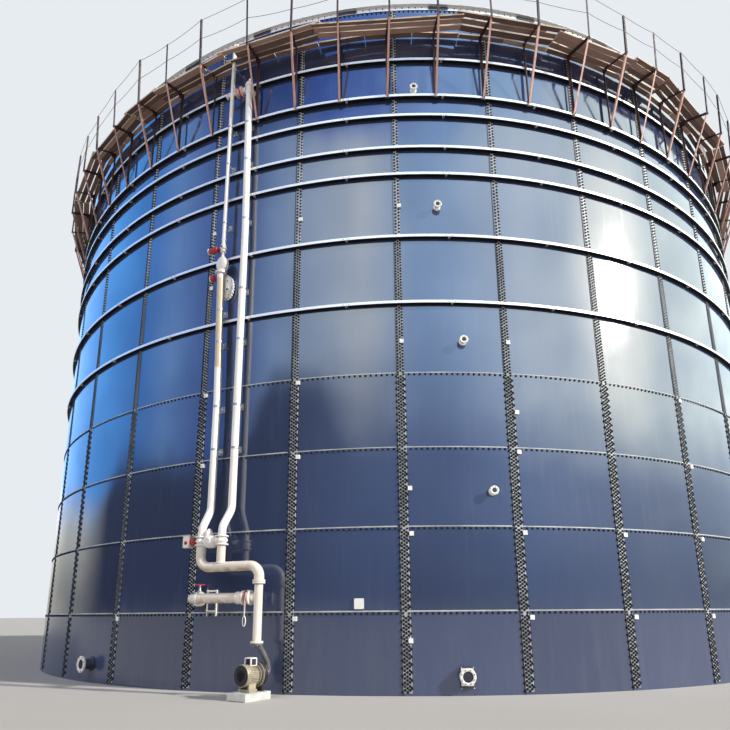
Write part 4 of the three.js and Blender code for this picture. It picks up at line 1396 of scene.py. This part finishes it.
crossLine = {
    "level": 12.485,
    "out": 0.180,
    "nearBody": mm(44, 0, 44, 50, 76, 65, 76, 150, 58, 170),
    # radius, and distance back from the far end
    "farBody": [(0.058, 0.16), (0.076, 0.14), (0.076, 0.06), (0.050, 0.04), (0.050, 0)],
    "knob": mm(24, 0, 24, 30, 34, 32, 34, 46, 0, 48),
    "stub": mm(31, 0, 31, 70, 40, 78),
}


def makeCrossLine():
    c = crossLine
    parts = Parts()
    z, out = c["level"], c["out"]
    start, end = loop["thinX"] + loop["thin"] * 0.96, riserAt("right", z) - loop["pipe"] * 0.96
    body = c["nearBody"] + [(radius, end - start - back) for radius, back in c["farBody"]]
    parts.add(*spun(at(start, out, z), loopRight, body, 26))
    for x, depth in ((start + 0.062, 0.026), (end - 0.108, 0.034)):
        flange(parts, at(x, out, z), loopRight, 0.104, depth, 8, 0, 0.010)
    parts.add(*disc(at(end - 0.142, out, z), loopRight, 0.106, 0.030), 2)
    parts.add(*spun(at(start + 0.20, out + 0.03, z), loopOut, c["knob"], 16))
    makePiece("cross_valve", parts, [pinkCast, nutSteel, redPaint], ["cross_line_valve"], 40)
    stub = Parts()
    start = loop["thinX"] - loop["thin"] * 0.96
    stub.add(*spun(at(start, out, z), -loopRight, c["stub"], 20))
    flange(stub, at(start - 0.078, out, z), -loopRight, 0.060, 0.030, 6, 0, 0.007)
    makePiece("stub_end", stub, [whitePipe, nutSteel], ["side_stub"], 40)


# The loop at the risers' feet: the line below, the valves on it and the drive at its left
manifold = {
    "line": 2.10,
    "valveFoot": 2.4753,
    "valveHead": 2.6447,
    "valve": 0.116,
    "middle": 2.56,
    "bend": 0.185,
    "bands": (0.24, 0.66, 0.92),
    "tee": mm(86, 0, 78, 22, 74, 24),
    "eye": mm(30, 0, 30, 24, 0, 26),
    "bridge": mm(60, 0, 70, 12, 70, 100, 54, 120, 54, 300, 70, 320, 70, 408, 60, 420),
    "barrel": mm(70, 0, 104, 16, 116, 50, 118, 120, 110, 180, 86, 212, 70, 220),
    "lobe": mm(74, 0, 74, 80, 66, 112, 48, 134, 30, 142, 30, 160, 22, 166),
    "drum": mm(52, 0, 60, 8, 60, 24, 74, 30, 74, 70, 56, 78, 56, 108),
    "box": (0.146, 0.126, 0.206),
    "boxRim": (0.150, 0.130, 0.012),
    "heads": mm(8, 0, 8, 5),
}


def makeManifold():
    m = manifold
    out, low, left, right = loop["loopOut"], m["valveFoot"], loop["leftX"], loop["rightX"]
    pipe = Parts()
    ends = at(left, out, low - 0.001), at(loop["dropX"], out, 1.831)
    corners = [ends[0], at(left, out, m["line"]), at(loop["dropX"], out, m["line"]), ends[1]]
    pipe.add(*tube(runPoints(corners, m["bend"], 12), loop["main"], 30))
    pipe.add(*tube([at(right, out, m["line"] + 0.01), at(right, out, low - 0.001)], 0.075, 26))
    pipe.add(*spun(at(right, out, 2.165), skyward, m["tee"], 26))
    for x in m["bands"]:
        pipe.add(*disc(at(x, out, m["line"]), loopRight, loop["main"] + 0.0022, loop["bandDepth"]))
    flange(pipe, at(loop["dropX"], out, 1.8305), skyward, *loop["mainFlange"])
    makePiece("manifold_line", pipe, [creamPipe, nutSteel], ["manifold_pipe"], 40)
    foot = Parts()
    for x in (left, right):
        valveBody(foot, at(x, out, low), skyward, m["valve"], m["valveHead"] - low)
        foot.add(*spun(at(x, out + 0.09, m["middle"]), loopOut, m["eye"], 16))
    foot.add(*spun(at(left, out, m["middle"]), loopRight, m["bridge"], 26))
    foot.add(*spun(at(0.075, out, 2.548), loopRight, m["barrel"], 30))
    foot.add(*spun(at(0.125, out, 2.610), skyward, m["lobe"], 26))
    foot.add(*disc(at(0.180, out + 0.085, 2.545), loopOut, 0.052, 0.040))
    boltRing(foot, at(0.180, out + 0.124, 2.545), loopOut, 0.040, 6, 0.008, 0.007)
    makePiece("foot_valves", foot, [whitePipe, nutSteel], ["manifold_valves"], 40)


def makeActuator():
    m = manifold
    out, start = loop["loopOut"], loop["leftX"] - m["valve"]
    parts = Parts()
    parts.add(*spun(at(start, out, m["middle"]), -loopRight, m["drum"], 28))
    boltRing(parts, at(start - 0.030, out, m["middle"]), loopRight, 0.063, 8, 0.008, 0.007)
    box = at(start - 0.181, out, m["middle"])
    parts.add(*slab(box, loopRight, loopOut, skyward, m["box"], 0.012), 2)
    parts.add(*slab(box + skyward * 0.04, loopRight, loopOut, skyward, m["boxRim"], 0.013), 2)
    corners = [(dx, dz) for dx in (-0.058, 0.058) for dz in (-0.08, 0.08)]
    spots = [box + loopRight * dx + skyward * dz + loopOut * 0.062 for dx, dz in corners]
    heads(parts, spots, loopOut, m["heads"])
    parts.add(*disc(box - skyward * 0.02 + loopOut * 0.060, loopOut, 0.034, 0.008))
    makePiece("actuator_box", parts, [redPaint, nutSteel, whitePipe], ["actuator"], 40)


# The drop pipe, the line from it back to the wall, and the valves at both its ends
branch = {
    "gate": (0.9002, 0.123, 0.149),
    "gateX": 0.99,
    "redRing": (0.120, 0.030),
    "cap": mm(30, 0, 30, 34, 22, 36),
    "boss": mm(32, 0, 32, 52, 20, 56),
    "lever": mm(-9, -112, 8, -112, 10, -20, -9, -20),
    "grip": mm(-9, -20, 10, -20, 13, 190, 7, 200, -7, 200, -13, 190),
    "leverLevel": 1.38,
    "handle": (0.028, 0.080, 0.0085),
    "handleLevel": 1.19,
    "teeRim": mm(82, 0, 75, 14, 73, 16),
    "socket": mm(104, 0, 116, 4, 116, 26, 98, 34, 98, 100, 106, 104, 106, 124, 88, 130),
    "bands": (0.04, 0.45),
    "legs": (-0.115, 0.075),
    "legHeads": (1.30, 1.43, 1.57, 1.70),
    "heads": mm(10, 0, 10, 8, 6, 11),
    "rungs": (1.36, 1.710),
    "wallX": -0.23,
    "outlet": mm(88, 0, 88, 20, 70, 26, 70, 164, 88, 168, 88, 187),
    "body": mm(100, 0, 128, 6, 128, 26, 104, 34, 104, 56, 128, 62, 128, 82, 100, 88),
    "spindle": mm(48, 60, 48, 110, 28, 120, 20, 140, 20, 229),
    "wheel": 0.086,
    "wheelLevel": 1.821,
}


def makeDropPipe():
    out, x, z = loop["loopOut"], loop["dropX"], loop["branchLevel"]
    parts = Parts()
    parts.add(*tube([at(x, out, 1.829), at(x, out, 0.841)], loop["drop"], 28))
    for level in (1.796, 0.841):
        flange(parts, at(x, out, level), skyward, *loop["mainFlange"])
    parts.add(*tube([at(1.0505, out, z), at(x, out, z)], 0.072, 26))
    parts.add(*spun(at(x - 0.078, out, z), -loopRight, branch["teeRim"], 26))
    makePiece("drop_line", parts, [creamPipe, nutSteel], ["drop_pipe"], 40)


def makeBranchGate():  # a valve with a red ring and a lever that hangs down
    b = branch
    out, x, z = loop["loopOut"], b["gateX"], loop["branchLevel"]
    parts = Parts()
    start, radius, length = b["gate"]
    valveBody(parts, at(start, out, z), loopRight, radius, length)
    parts.add(*disc(at(0.955, out, z), loopRight, *b["redRing"]), 2)
    parts.add(*spun(at(x, out, z + 0.09), skyward, b["cap"], 16))
    parts.add(*spun(at(x, out + 0.05, z), loopOut, b["boss"], 16))
    wide, tall, wire = b["handle"]
    turns = [2 * math.pi * k / 20 for k in range(21)]
    level = b["handleLevel"]
    ringPath = [at(x + wide * math.sin(turn), out + 0.109, level + tall * math.cos(turn)) for turn in turns]
    parts.add(*tube(ringPath, wire, 8))
    for form, mark in ((b["lever"], 0), (b["grip"], 3)):
        spot = at(x, out + 0.104, b["leverLevel"])
        parts.add(*prism(form, spot, loopRight, skyward, loopOut * 0.010), mark)
    finishes = [whitePipe, nutSteel, redPaint, flangePaint]
    makePiece("branch_gate", parts, finishes, ["branch_valve"], 40)


def makeBranchLine():
    b = branch
    out, z = loop["loopOut"], loop["branchLevel"]
    parts = Parts()
    corners = [at(0.898, out, z), at(b["wallX"], out, z), at(b["wallX"], 0.191, z)]
    parts.add(*tube(runPoints(corners, 0.175, 10), loop["main"], 30))
    parts.add(*spun(at(0.898, out, z), -loopRight, b["socket"], 28), 2)
    for x in b["bands"]:
        parts.add(*disc(at(x, out, z), loopRight, loop["main"] + 0.0022, loop["bandDepth"]))
    spot = at(-0.04, 0.2075, z + 0.07)
    parts.add(*slab(spot, loopRight, skyward, loopOut, (0.050, 0.026, 0.412), 0.004), 2)
    parts.add(*disc(at(-0.062, out, z), loopRight, loop["main"] + 0.006, 0.044), 2)
    for x in b["legs"]:  # the upright legs of the wall bracket behind the line
        parts.add(*slab(at(x, 0.018, 1.50), loopRight, loopOut, skyward, (0.028, 0.028, 0.46), 0.004), 2)
        heads(parts, [at(x, 0.031, level) for level in b["legHeads"]], loopOut, b["heads"])
    for level in b["rungs"]:
        parts.add(*slab(at(-0.02, 0.024, level), loopOut, skyward, loopRight, (0.024, 0.030, 0.22), 0.004), 2)
    makePiece("branch_line", parts, [creamPipe, nutSteel, whitePipe], ["branch_pipe"], 40)


def makeOutlet():  # a gate valve on the wall with a small red wheel
    b = branch
    x, z = b["wallX"], loop["branchLevel"]
    parts = Parts()
    parts.add(*spun(at(x, 0.002, z), loopOut, b["outlet"], 26))
    parts.add(*spun(at(x, 0.061, z), loopOut, b["body"], 28))
    parts.add(*spun(at(x, 0.105, z + 0.03), skyward, b["spindle"], 16), 1)
    hub, radius = at(x, 0.105, b["wheelLevel"]), b["wheel"]
    turns = [2 * math.pi * k / 24 for k in range(25)]
    steps = [(radius * math.cos(turn), radius * math.sin(turn)) for turn in turns]
    parts.add(*tube([hub + loopRight * a + loopOut * b for a, b in steps], 0.009, 8), 2)
    for k in range(4):
        way = loopRight * math.cos(k * math.pi / 2) + loopOut * math.sin(k * math.pi / 2)
        parts.add(*tube([hub, hub + way * radius], 0.006, 6), 2)
    makePiece("outlet_gate", parts, [whitePipe, nutSteel, redPaint], ["outlet_valve"], 40)


# Pump: placed by its shaft, turned a little from the wall
pump = {
    "turn": math.radians(14.3),
    "x": 1.250,
    "out": 0.383,
    "axis": 0.368,
    "volute": mm(130, 1, 188, 8, 188, 30, 176, 40, 176, 70, 188, 80, 188, 92),
    "backRing": mm(190, 0, 196, 4, 196, 14, 158, 18),
    "mouth": mm(71, 0, 73, 50, 92, 70, 110, 80),
    "casingFoot": (0.236, 0.056, 0.146),
    "motorStart": 0.1103,
    "shell": mm(110, 0, 166, 4, 166, 30, 152, 36, 152, 236, 164, 240, 164, 252),
    "adapter": mm(120, 0, 169, 3, 169, 22, 158, 30, 158, 64, 120, 68),
    "cover": mm(158, 0, 168.5, 5, 168.5, 30, 168.5, 58, 165, 64, 150, 64.5),
    "grille": mm(162, 0, 160, 4, 80, 6, 0, 6),
    "fins": 36,
    "finReach": 0.155,
    "fin": (0.014, 0.005, 0.188),
    "slots": 4,
    "slotStep": 0.030,
    "motorFoot": (0.256, 0.176, 0.042),
    "motorLeg": (0.036, 0.150, 0.12),
    "box": (0.110, 0.100, 0.120),
    "boxLevel": 0.567,
    "boxPlate": (0.148, 0.138, 0.016),
    "boxPost": (0.020, 0.020, 0.120),
    "bedMiddle": 0.235,
    "bedTop": (0.418, 0.546, 0.014),
    "bedRail": (0.050, 0.542, 0.104),
    "bedCross": (0.330, 0.036, 0.098),
    "heads": mm(13, 0, 13, 11, 9, 14),
    "suction": 0.0460,
    "suctionBend": 0.050,
    "elbow": 0.085,
}
pumpSide = loopRight * math.cos(pump["turn"]) + loopOut * math.sin(pump["turn"])
pumpWay = loopOut * math.cos(pump["turn"]) - loopRight * math.sin(pump["turn"])


def pumpSpot(a, b, z):  # a place by how far it lies across the shaft, along it and up
    return at(pump["x"], pump["out"], 0) + pumpSide * a + pumpWay * b + Vector((0, 0, z))


def pumpBlock(parts, center, size, edge, mark=0):
    parts.add(*slab(center, pumpSide, pumpWay, skyward, size, edge), mark)


def makeCasing():
    p = pump
    parts = Parts()
    parts.add(*spun(pumpSpot(0, 0, p["axis"]), pumpWay, p["volute"], 40))
    parts.add(*spun(pumpSpot(0, 0.092, p["axis"]), pumpWay, p["backRing"], 40), 2)
    boltRing(parts, pumpSpot(0, 0.104, p["axis"]), pumpWay, 0.182, 14, 0.009, 0.006)
    parts.add(*spun(pumpSpot(0, -0.080, p["axis"]), pumpWay, p["mouth"], 28), 2)
    pumpBlock(parts, pumpSpot(0, 0.05, 0.195), p["casingFoot"], 0.006)
    makePiece("pump_volute", parts, [motorPaint, nutSteel, castPaint], ["pump_casing"], 35)


def makeMotor():
    p = pump
    parts = Parts()
    start = p["motorStart"]
    bodies = [  # place along the shaft, form, sides, finish
        (0, "shell", 36, 3), (-0.001, "adapter", 36, 0), (0.251, "cover", 40, 3), (0.3125, "grille", 40, 0),
    ]
    for along, form, sides, mark in bodies:
        parts.add(*spun(pumpSpot(0, start + along, p["axis"]), pumpWay, p[form], sides), mark)
    for k in range(p["fins"]):
        turn = 2 * math.pi * k / p["fins"]
        outward = pumpSide * math.cos(turn) + skyward * math.sin(turn)
        middle = pumpSpot(0, start + 0.136, p["axis"]) + outward * p["finReach"]
        parts.add(*slab(middle, outward, pumpWay.cross(outward), pumpWay, p["fin"]), 3)
    for k in range(p["slots"]):  # slots in the fan cover
        radius = p["slotStep"] + p["slotStep"] * k
        spot = pumpSpot(0, start + 0.3178, p["axis"])
        parts.add(*disc(spot, pumpWay, radius, 0.0012, 0.0005), 1 if k % 2 else 0)
    pumpBlock(parts, pumpSpot(0, start + 0.160, 0.142), p["motorFoot"], 0.006, 3)
    for dx in (-0.095, 0.095):
        pumpBlock(parts, pumpSpot(dx, start + 0.160, 0.190), p["motorLeg"], 0.006, 3)
    box = pumpSpot(0, start + 0.110, p["boxLevel"])
    pumpBlock(parts, box, p["box"], 0.006, 1)
    for dz in (-0.056, 0.056):
        pumpBlock(parts, box + skyward * dz, p["boxPlate"], 0.010, 2)
    for dx in (-0.064, 0.064):
        for dy in (-0.059, 0.059):
            pumpBlock(parts, box + pumpSide * dx + pumpWay * dy, p["boxPost"], 0.003, 2)
    finishes = [motorPaint, blackGasket, plateWhite, castPaint]
    makePiece("motor_body", parts, finishes, ["pump_motor"], 35)


def makeBed():
    p = pump
    parts = Parts()
    pumpBlock(parts, pumpSpot(0, p["bedMiddle"], 0.112), p["bedTop"], 0.004)
    for dx in (-0.184, 0.184):
        pumpBlock(parts, pumpSpot(dx, p["bedMiddle"], 0.053), p["bedRail"], 0.004)
    for dy in (-0.02, p["bedMiddle"], 0.49):
        pumpBlock(parts, pumpSpot(0, dy, 0.056), p["bedCross"], 0.004)
    spots = [pumpSpot(dx, dy, 0.118) for dx in (-0.15, 0.15) for dy in (0.05, 0.20, 0.35)]
    heads(parts, spots, skyward, p["heads"])
    makePiece("bed_frame", parts, [palePaint, nutSteel], ["pump_bed"], 35)


def makeSuction():  # from the casing's mouth up to the drop pipe's foot
    p = pump
    parts = Parts()
    neck = pumpSpot(0, -0.0805, p["axis"])
    low, top = neck - pumpWay * p["elbow"], at(loop["dropX"], loop["loopOut"], 0.800)
    above = low + skyward * (top.z - low.z)
    belly = low.lerp(above, 0.42).lerp(top.lerp(low, 0.55), 0.25)
    shoulder = top.lerp(above, 0.32) - skyward * 0.030
    end = at(loop["dropX"], loop["loopOut"], 0.839)
    corners = [neck, low, low.lerp(above, 0.18), belly, shoulder, top, end]
    parts.add(*tube(runPoints(corners, p["suctionBend"], 6), p["suction"], 26))
    flange(parts, neck, -pumpWay, 0.088, 0.020, 8, 0, 0.009)
    flange(parts, at(loop["dropX"], loop["loopOut"], 0.8065), skyward, *loop["mainFlange"])
    makePiece("suction_line", parts, [linePaint, nutSteel], ["suction_bend"], 40)


palePaint = makeSimple("palePaint", rgb(0.62, 0.63, 0.60), 0.40)
pinkCast = makeSimple("pinkCast", rgb(0.90, 0.60, 0.58), 0.45, spread=0.35, scale=14.0)
makeLeftRiser()
makeThinRiser()
makeRightRiser()
makeCheckValve()
for valve in redValves:
    makeRedValve(*valve)
makeRoundValve()
makeCrossLine()
makeManifold()
makeActuator()
makeDropPipe()
makeBranchGate()
makeBranchLine()
makeOutlet()
makeCasing()
makeMotor()
makeBed()
makeSuction()
print("pipework made")

# Ports: a stub with a bolted ring, blind in the middle
ports = [  # node, angle, level, radius of the stub, length, radius of the ring
    ("port_1", 8.29, 3.360, 0.045, 0.130, 0.082),
    ("port_2", 6.18, 6.200, 0.045, 0.130, 0.082),
    ("port_3", 4.18, 9.090, 0.045, 0.130, 0.082),
    ("port_4", 2.10, 11.920, 0.045, 0.130, 0.082),
    ("low_port_left", -35.7, 0.360, 0.100, 0.220, 0.160),
    ("low_port_right", 5.06, 0.300, 0.095, 0.140, 0.135),
]
portRing = {"small": (0.026, 0.009), "large": (0.034, 0.014)}  # thickness, size of the bolt heads
backPlate = {
    "under": (0.20, 0.33, 0.054),
    "over": (0.20, 0.27, 0.022),
    "corners": [(a, b) for a in (-0.10, 0.10) for b in (-0.175, 0.140)],
    "heads": mm(12, 0, 12, 10, 8, 13),
}


def makePort(name, angle, z, stub, length, rimRadius):
    parts = Parts()
    right, out, up = tankAxes(angle)
    foot = onTank(angle, tank["radius"] - 0.006, z)
    thick, head = portRing["small" if rimRadius < 0.1 else "large"]
    wide = rimRadius * 0.86
    neck = [(wide, 0), (wide, 0.014), (stub + 0.006, 0.020), (stub, 0.026), (stub, length - thick)]
    parts.add(*spun(foot, out, neck, 30), 3 if name == "low_port_left" else 0)
    face = foot + out * (length - thick)
    bore, edge = stub * 0.92, rimRadius - 0.001
    ringShape = [(bore, 0.004), (rimRadius - 0.004, 0), (edge, 0.004), (edge, thick - 0.004)]
    ringShape += [(rimRadius - 0.005, thick - 0.001), (bore + 0.006, thick), (bore, thick - 0.004)]
    parts.add(*spun(face, out, ringShape + [(bore, 0.006)], 34))
    plug = [(bore + 0.001, 0.002), (bore + 0.001, thick - 0.014), (bore * 0.5, thick - 0.010)]
    parts.add(*spun(face, out, plug + [(0, thick - 0.010)], 26), 2)
    boltRing(parts, face + out * (thick - 0.002), out, rimRadius - head * 1.75, 8, head, head * 0.8)
    if name == "low_port_right":
        behind = onTank(angle, tank["radius"] + 0.026, z - 0.018)
        before = onTank(angle, tank["radius"] + 0.064, z - 0.006)
        # painted shade: the plate behind is near-black
        parts.add(*slab(behind, right, up, out, backPlate["under"], 0.006), 3)
        parts.add(*slab(before, right, up, out, backPlate["over"], 0.006))
        spots = [onTank(angle, tank["radius"] + 0.074, z + b) + right * a for a, b in backPlate["corners"]]
        heads(parts, spots, out, backPlate["heads"])
    makePiece(name + "_ring", parts, [whitePipe, nutSteel, blackGasket, portShade], [name], 40)


# painted shade: near-black on the lower left port's neck and on the plate behind the lower right port
portShade = makeSimple("portShade", rgb(0.050, 0.052, 0.058), 0.5)
for port in ports:
    makePort(*port)

# Bare tags beside the seams, by angle and level, and one larger plate
tags = {
    "size": (0.076, 0.076, 0.030),
    "stand": 0.010,
    "spots": [
        (-31.33, 1.23), (-20.67, 4.07), (-10.05, 1.22), (-10.09, 4.07), (0.62, 3.42), (0.36, 0.86),
        (11.22, 1.22), (21.87, 1.21), (-20.96, 9.178), (-20.94, 7.88), (-20.82, 5.506), (-10.24, 5.511),
        (32.45, 1.21), (11.12, 4.09), (21.68, 2.65), (32.48, 2.66), (32.38, 4.11), (11.13, 2.64),
        (-10.35, 9.046), (0.66, 2.627), (11.18, 4.84), (31.98, 5.50), (0.22, 9.14), (0.16, 6.22),
        (10.78, 6.22),
    ],
    "plateSpot": (-4.17, 1.46),
    "plate": (0.165, 0.175, 0.014),
    "plateCorners": [(a, b) for a in (-0.07, 0.07) for b in (-0.075, 0.075)],
    "pins": mm(6, 0, 6, 4),
}


def makeTags():
    parts = Parts()
    for angle, z in tags["spots"]:
        right, out, up = tankAxes(angle)
        lean = rng.uniform(-0.06, 0.06)
        spot = onTank(angle, tank["radius"] + tags["stand"], z)
        parts.add(*slab(spot, right + up * lean, up - right * lean, out, tags["size"], 0.003))
    angle, z = tags["plateSpot"]
    right, out, up = tankAxes(angle)
    spot = onTank(angle, tank["radius"] + 0.002, z)
    parts.add(*slab(spot, right, up, out, tags["plate"], 0.004))
    for a, b in tags["plateCorners"]:
        parts.add(*spun(spot + right * a + up * b + out * 0.006, out, tags["pins"], 8), 1)
    makePiece("tags", parts, [plateWhite, nutSteel])


makeTags()

bottom = {"radius": 10.804, "thick": 0.020, "edge": 0.004}


def makeBottom():
    parts = Parts()
    radius, thick = bottom["radius"], bottom["thick"]
    profile = [(radius, 0.0), (radius, thick - 0.002), (radius - bottom["edge"], thick), (0, thick)]
    parts.add(*spun(Vector((0, 0, 0)), Vector((0, 0, 1)), profile, 4 * tank["panels"]))
    makePiece("bottom_plate", parts, [enamel], ["floor_plate"])


makeBottom()
print("ports, tags and bottom made")

# Camera, floor and light
camera = {
    "place": Vector((-0.1624, -20.9534, 1.297)),
    "yaw": math.radians(-2.861),
    "pitch": math.radians(13.987),
    "roll": math.radians(-0.404),
    "lens": 29.10,
    "shift": 0.1393,
}


def makeCamera():
    yaw, pitch, roll = camera["yaw"], camera["pitch"], camera["roll"]
    sideways = Vector((math.cos(yaw), -math.sin(yaw), 0))
    upward = Vector((-math.sin(pitch) * math.sin(yaw), -math.sin(pitch) * math.cos(yaw), math.cos(pitch)))
    forward = Vector((math.cos(pitch) * math.sin(yaw), math.cos(pitch) * math.cos(yaw), math.sin(pitch)))
    right = sideways * math.cos(roll) + upward * math.sin(roll)
    up = upward * math.cos(roll) - sideways * math.sin(roll)
    data = bpy.data.cameras.new("view")
    data.sensor_width = 36
    data.lens = camera["lens"]
    data.shift_y = camera["shift"]
    data.clip_end = 500
    view = bpy.data.objects.new("view", data)
    bpy.context.scene.collection.objects.link(view)
    turn = Matrix((right, up, -forward)).transposed()
    view.matrix_world = Matrix.Translation(camera["place"]) @ turn.to_4x4()
    bpy.context.scene.camera = view


def makeFloor():
    mesh = bpy.data.meshes.new("floor")
    reach = 400
    corners = [(-reach, -reach, 0), (reach, -reach, 0), (reach, reach, 0), (-reach, reach, 0)]
    mesh.from_pydata(corners, [], [(0, 1, 2, 3)])
    paint = Paint("floorPaint")
    color = paint.mix(paint.noise(0.4, 3.0), rgb(0.46, 0.445, 0.42), rgb(0.50, 0.485, 0.46))
    mesh.materials.append(paint.finish(color=color, rough=0.9, specular=0.1))
    floor = bpy.data.objects.new("floor", mesh)
    bpy.context.scene.collection.objects.link(floor)


sunWay = Vector((0.835, -0.295, 0.463)).normalized()
fillWay = Vector((-0.60, -0.76, 0.75)).normalized()
sky = {
    "backdrop": rgb(0.80, 0.84, 0.88),
    "ambient": rgb(0.135, 0.138, 0.145),
    # what the enamel mirrors, by degrees to the right of the front: near the ground and high up
    "low": [
        (-150, 1.6, 1.6, 1.5), (-108, 1.6, 1.6, 1.5), (-97, 0.05, 0.05, 0.06), (-40, 0.05, 0.06, 0.08),
        (-12, 0.26, 0.38, 0.66), (12, 0.30, 0.43, 0.74), (36, 0.60, 0.85, 1.35), (75, 1.0, 1.2, 1.40),
        (150, 0.90, 1.1, 1.2),
    ],
    "high": [
        (-150, 0.7, 1.2, 2.2), (-105, 0.25, 1.1, 2.8), (-86, 0.17, 0.76, 2.25), (-75, 0.52, 1.12, 2.4),
        (-66, 0.32, 0.70, 1.8), (-57, 0.20, 0.42, 1.35), (-46, 0.40, 0.70, 1.55), (-38, 0.95, 1.45, 2.35),
        (-22, 1.9, 2.35, 2.8), (-10, 2.8, 3.1, 3.2), (6, 1.25, 1.95, 2.9), (18, 1.5, 2.2, 3.1),
        (40, 2.7, 3.2, 3.5), (100, 2.7, 3.1, 2.9), (150, 1.6, 1.9, 2.0),
    ],
    # the part right overhead that the courses under the deck mirror
    "top": [
        (-60, 0.07, 0.20, 0.70), (-36, 0.04, 0.16, 0.80), (-22, 0.15, 0.40, 1.7), (-14, 0.30, 0.68, 2.2),
        (-6, 0.38, 0.80, 2.3), (7, 0.70, 1.20, 2.4), (14, 0.90, 1.65, 3.1), (41, 1.30, 2.1, 3.1),
        (73, 2.3, 2.8, 3.1), (110, 2.5, 2.9, 3.0),
    ],
    # sine of the heights between which the one gives way to the other
    "edges": [
        (-150, 0.10, 0.22, 0), (-104, 0.10, 0.20, 0), (-94, 0.19, 0.27, 0), (-52, 0.20, 0.28, 0),
        (-38, 0.34, 0.42, 0), (-24, 0.34, 0.44, 0), (-14, 0.22, 0.50, 0), (12, 0.22, 0.50, 0),
        (40, 0.18, 0.36, 0), (75, 0.16, 0.29, 0),
    ],
    "strength": [(0.03, rgb(0.4, 0.4, 0.35)), (0.18, rgb(1, 1, 1))],
    "glow": rgb(2.4, 2.1, 1.4),
}


def makeWorld():
    world = bpy.data.worlds.new("softSky")
    world.use_nodes = True
    tree = world.node_tree
    tree.nodes.clear()
    paint = Paint("", tree)
    spot = paint.node("ShaderNodeTexCoord")
    way = Signal(paint, spot.socket.node.outputs["Generated"])
    across, toward, level = [paint.node("ShaderNodeSeparateXYZ", None, [way], output=k) for k in range(3)]
    turn = across.maths("ARCTAN2", toward * -1.0) * (0.5 / math.pi) + 0.5

    def band(stops):
        places = [((angle + 180) / 360, rgb(*color)) for angle, *color in stops]
        return paint.node("ShaderNodeValToRGB", {"stops": places}, [turn])

    ragged = level + (paint.noise(5.0, 4.0, 0.6, way) - 0.5) * 0.06
    edges = band(sky["edges"])
    lower, upper = [paint.node("ShaderNodeSeparateXYZ", None, [edges], output=k) for k in range(2)]
    mirrored = paint.mix(ragged.above(lower, upper), band(sky["low"]), band(sky["high"]))
    mirrored = paint.mix(ragged.above(0.665, 0.705), mirrored, band(sky["top"]))
    drift = paint.node("ShaderNodeMapping", None, {"Vector": way, "Scale": (1.0, 1.0, 5.0)})
    cloud = paint.noise(2.6, 5.0, 0.6, drift).above(0.35, 0.68)
    clouds = paint.mix(cloud, rgb(0.86, 0.88, 0.90), rgb(1.16, 1.13, 1.10))
    mirrored = paint.mix(1.0, mirrored, clouds, "MULTIPLY")
    toSun = paint.node("ShaderNodeVectorMath", {"operation": "DOT_PRODUCT"}, [way, tuple(sunWay)], output=1)
    mirrored = paint.mix(toSun.above(0.95, 1.0) ** 2.0, mirrored, sky["glow"], "ADD")
    strength = paint.node("ShaderNodeValToRGB", {"stops": sky["strength"]}, [level])
    mirrored = paint.mix(1.0, mirrored, strength, "MULTIPLY")
    path = paint.node("ShaderNodeLightPath")
    isCamera = Signal(paint, path.socket.node.outputs["Is Camera Ray"])
    isGlossy = Signal(paint, path.socket.node.outputs["Is Glossy Ray"])
    colors = (sky["ambient"], mirrored, sky["backdrop"])
    shades = [paint.node("ShaderNodeBackground", None, {"Color": color, "Strength": 1.0}) for color in colors]
    soft = paint.node("ShaderNodeMixShader", None, [isGlossy, shades[0], shades[1]])
    mixed = paint.node("ShaderNodeMixShader", None, [isCamera, soft, shades[2]])
    paint.node("ShaderNodeOutputWorld", None, [mixed])
    bpy.context.scene.world = world


lights = {
    "keyLight": {"way": sunWay, "energy": 4.5, "color": (1.0, 0.96, 0.90), "angle": 3},
    "fillLight": {"way": fillWay, "energy": 1.35, "color": (1.0, 0.98, 0.96), "angle": 50},
}


def makeLight(name, way, energy, color, angle):  # a sun, its width in degrees
    data = bpy.data.lights.new(name, "SUN")
    data.energy = energy
    data.color = color
    data.angle = math.radians(angle)
    light = bpy.data.objects.new(name, data)
    bpy.context.scene.collection.objects.link(light)
    light.location = way * 60 + Vector((0, 0, 7))
    light.rotation_euler = (-way).to_track_quat("-Z", "Y").to_euler()


makeCamera()
makeFloor()
makeWorld()
for name, light in lights.items():
    makeLight(name, **light)
bpy.context.scene.objects["fillLight"].visible_glossy = False  # it only lifts the shaded sides
bpy.context.scene.view_settings.view_transform = "Standard"
print("camera and light set")
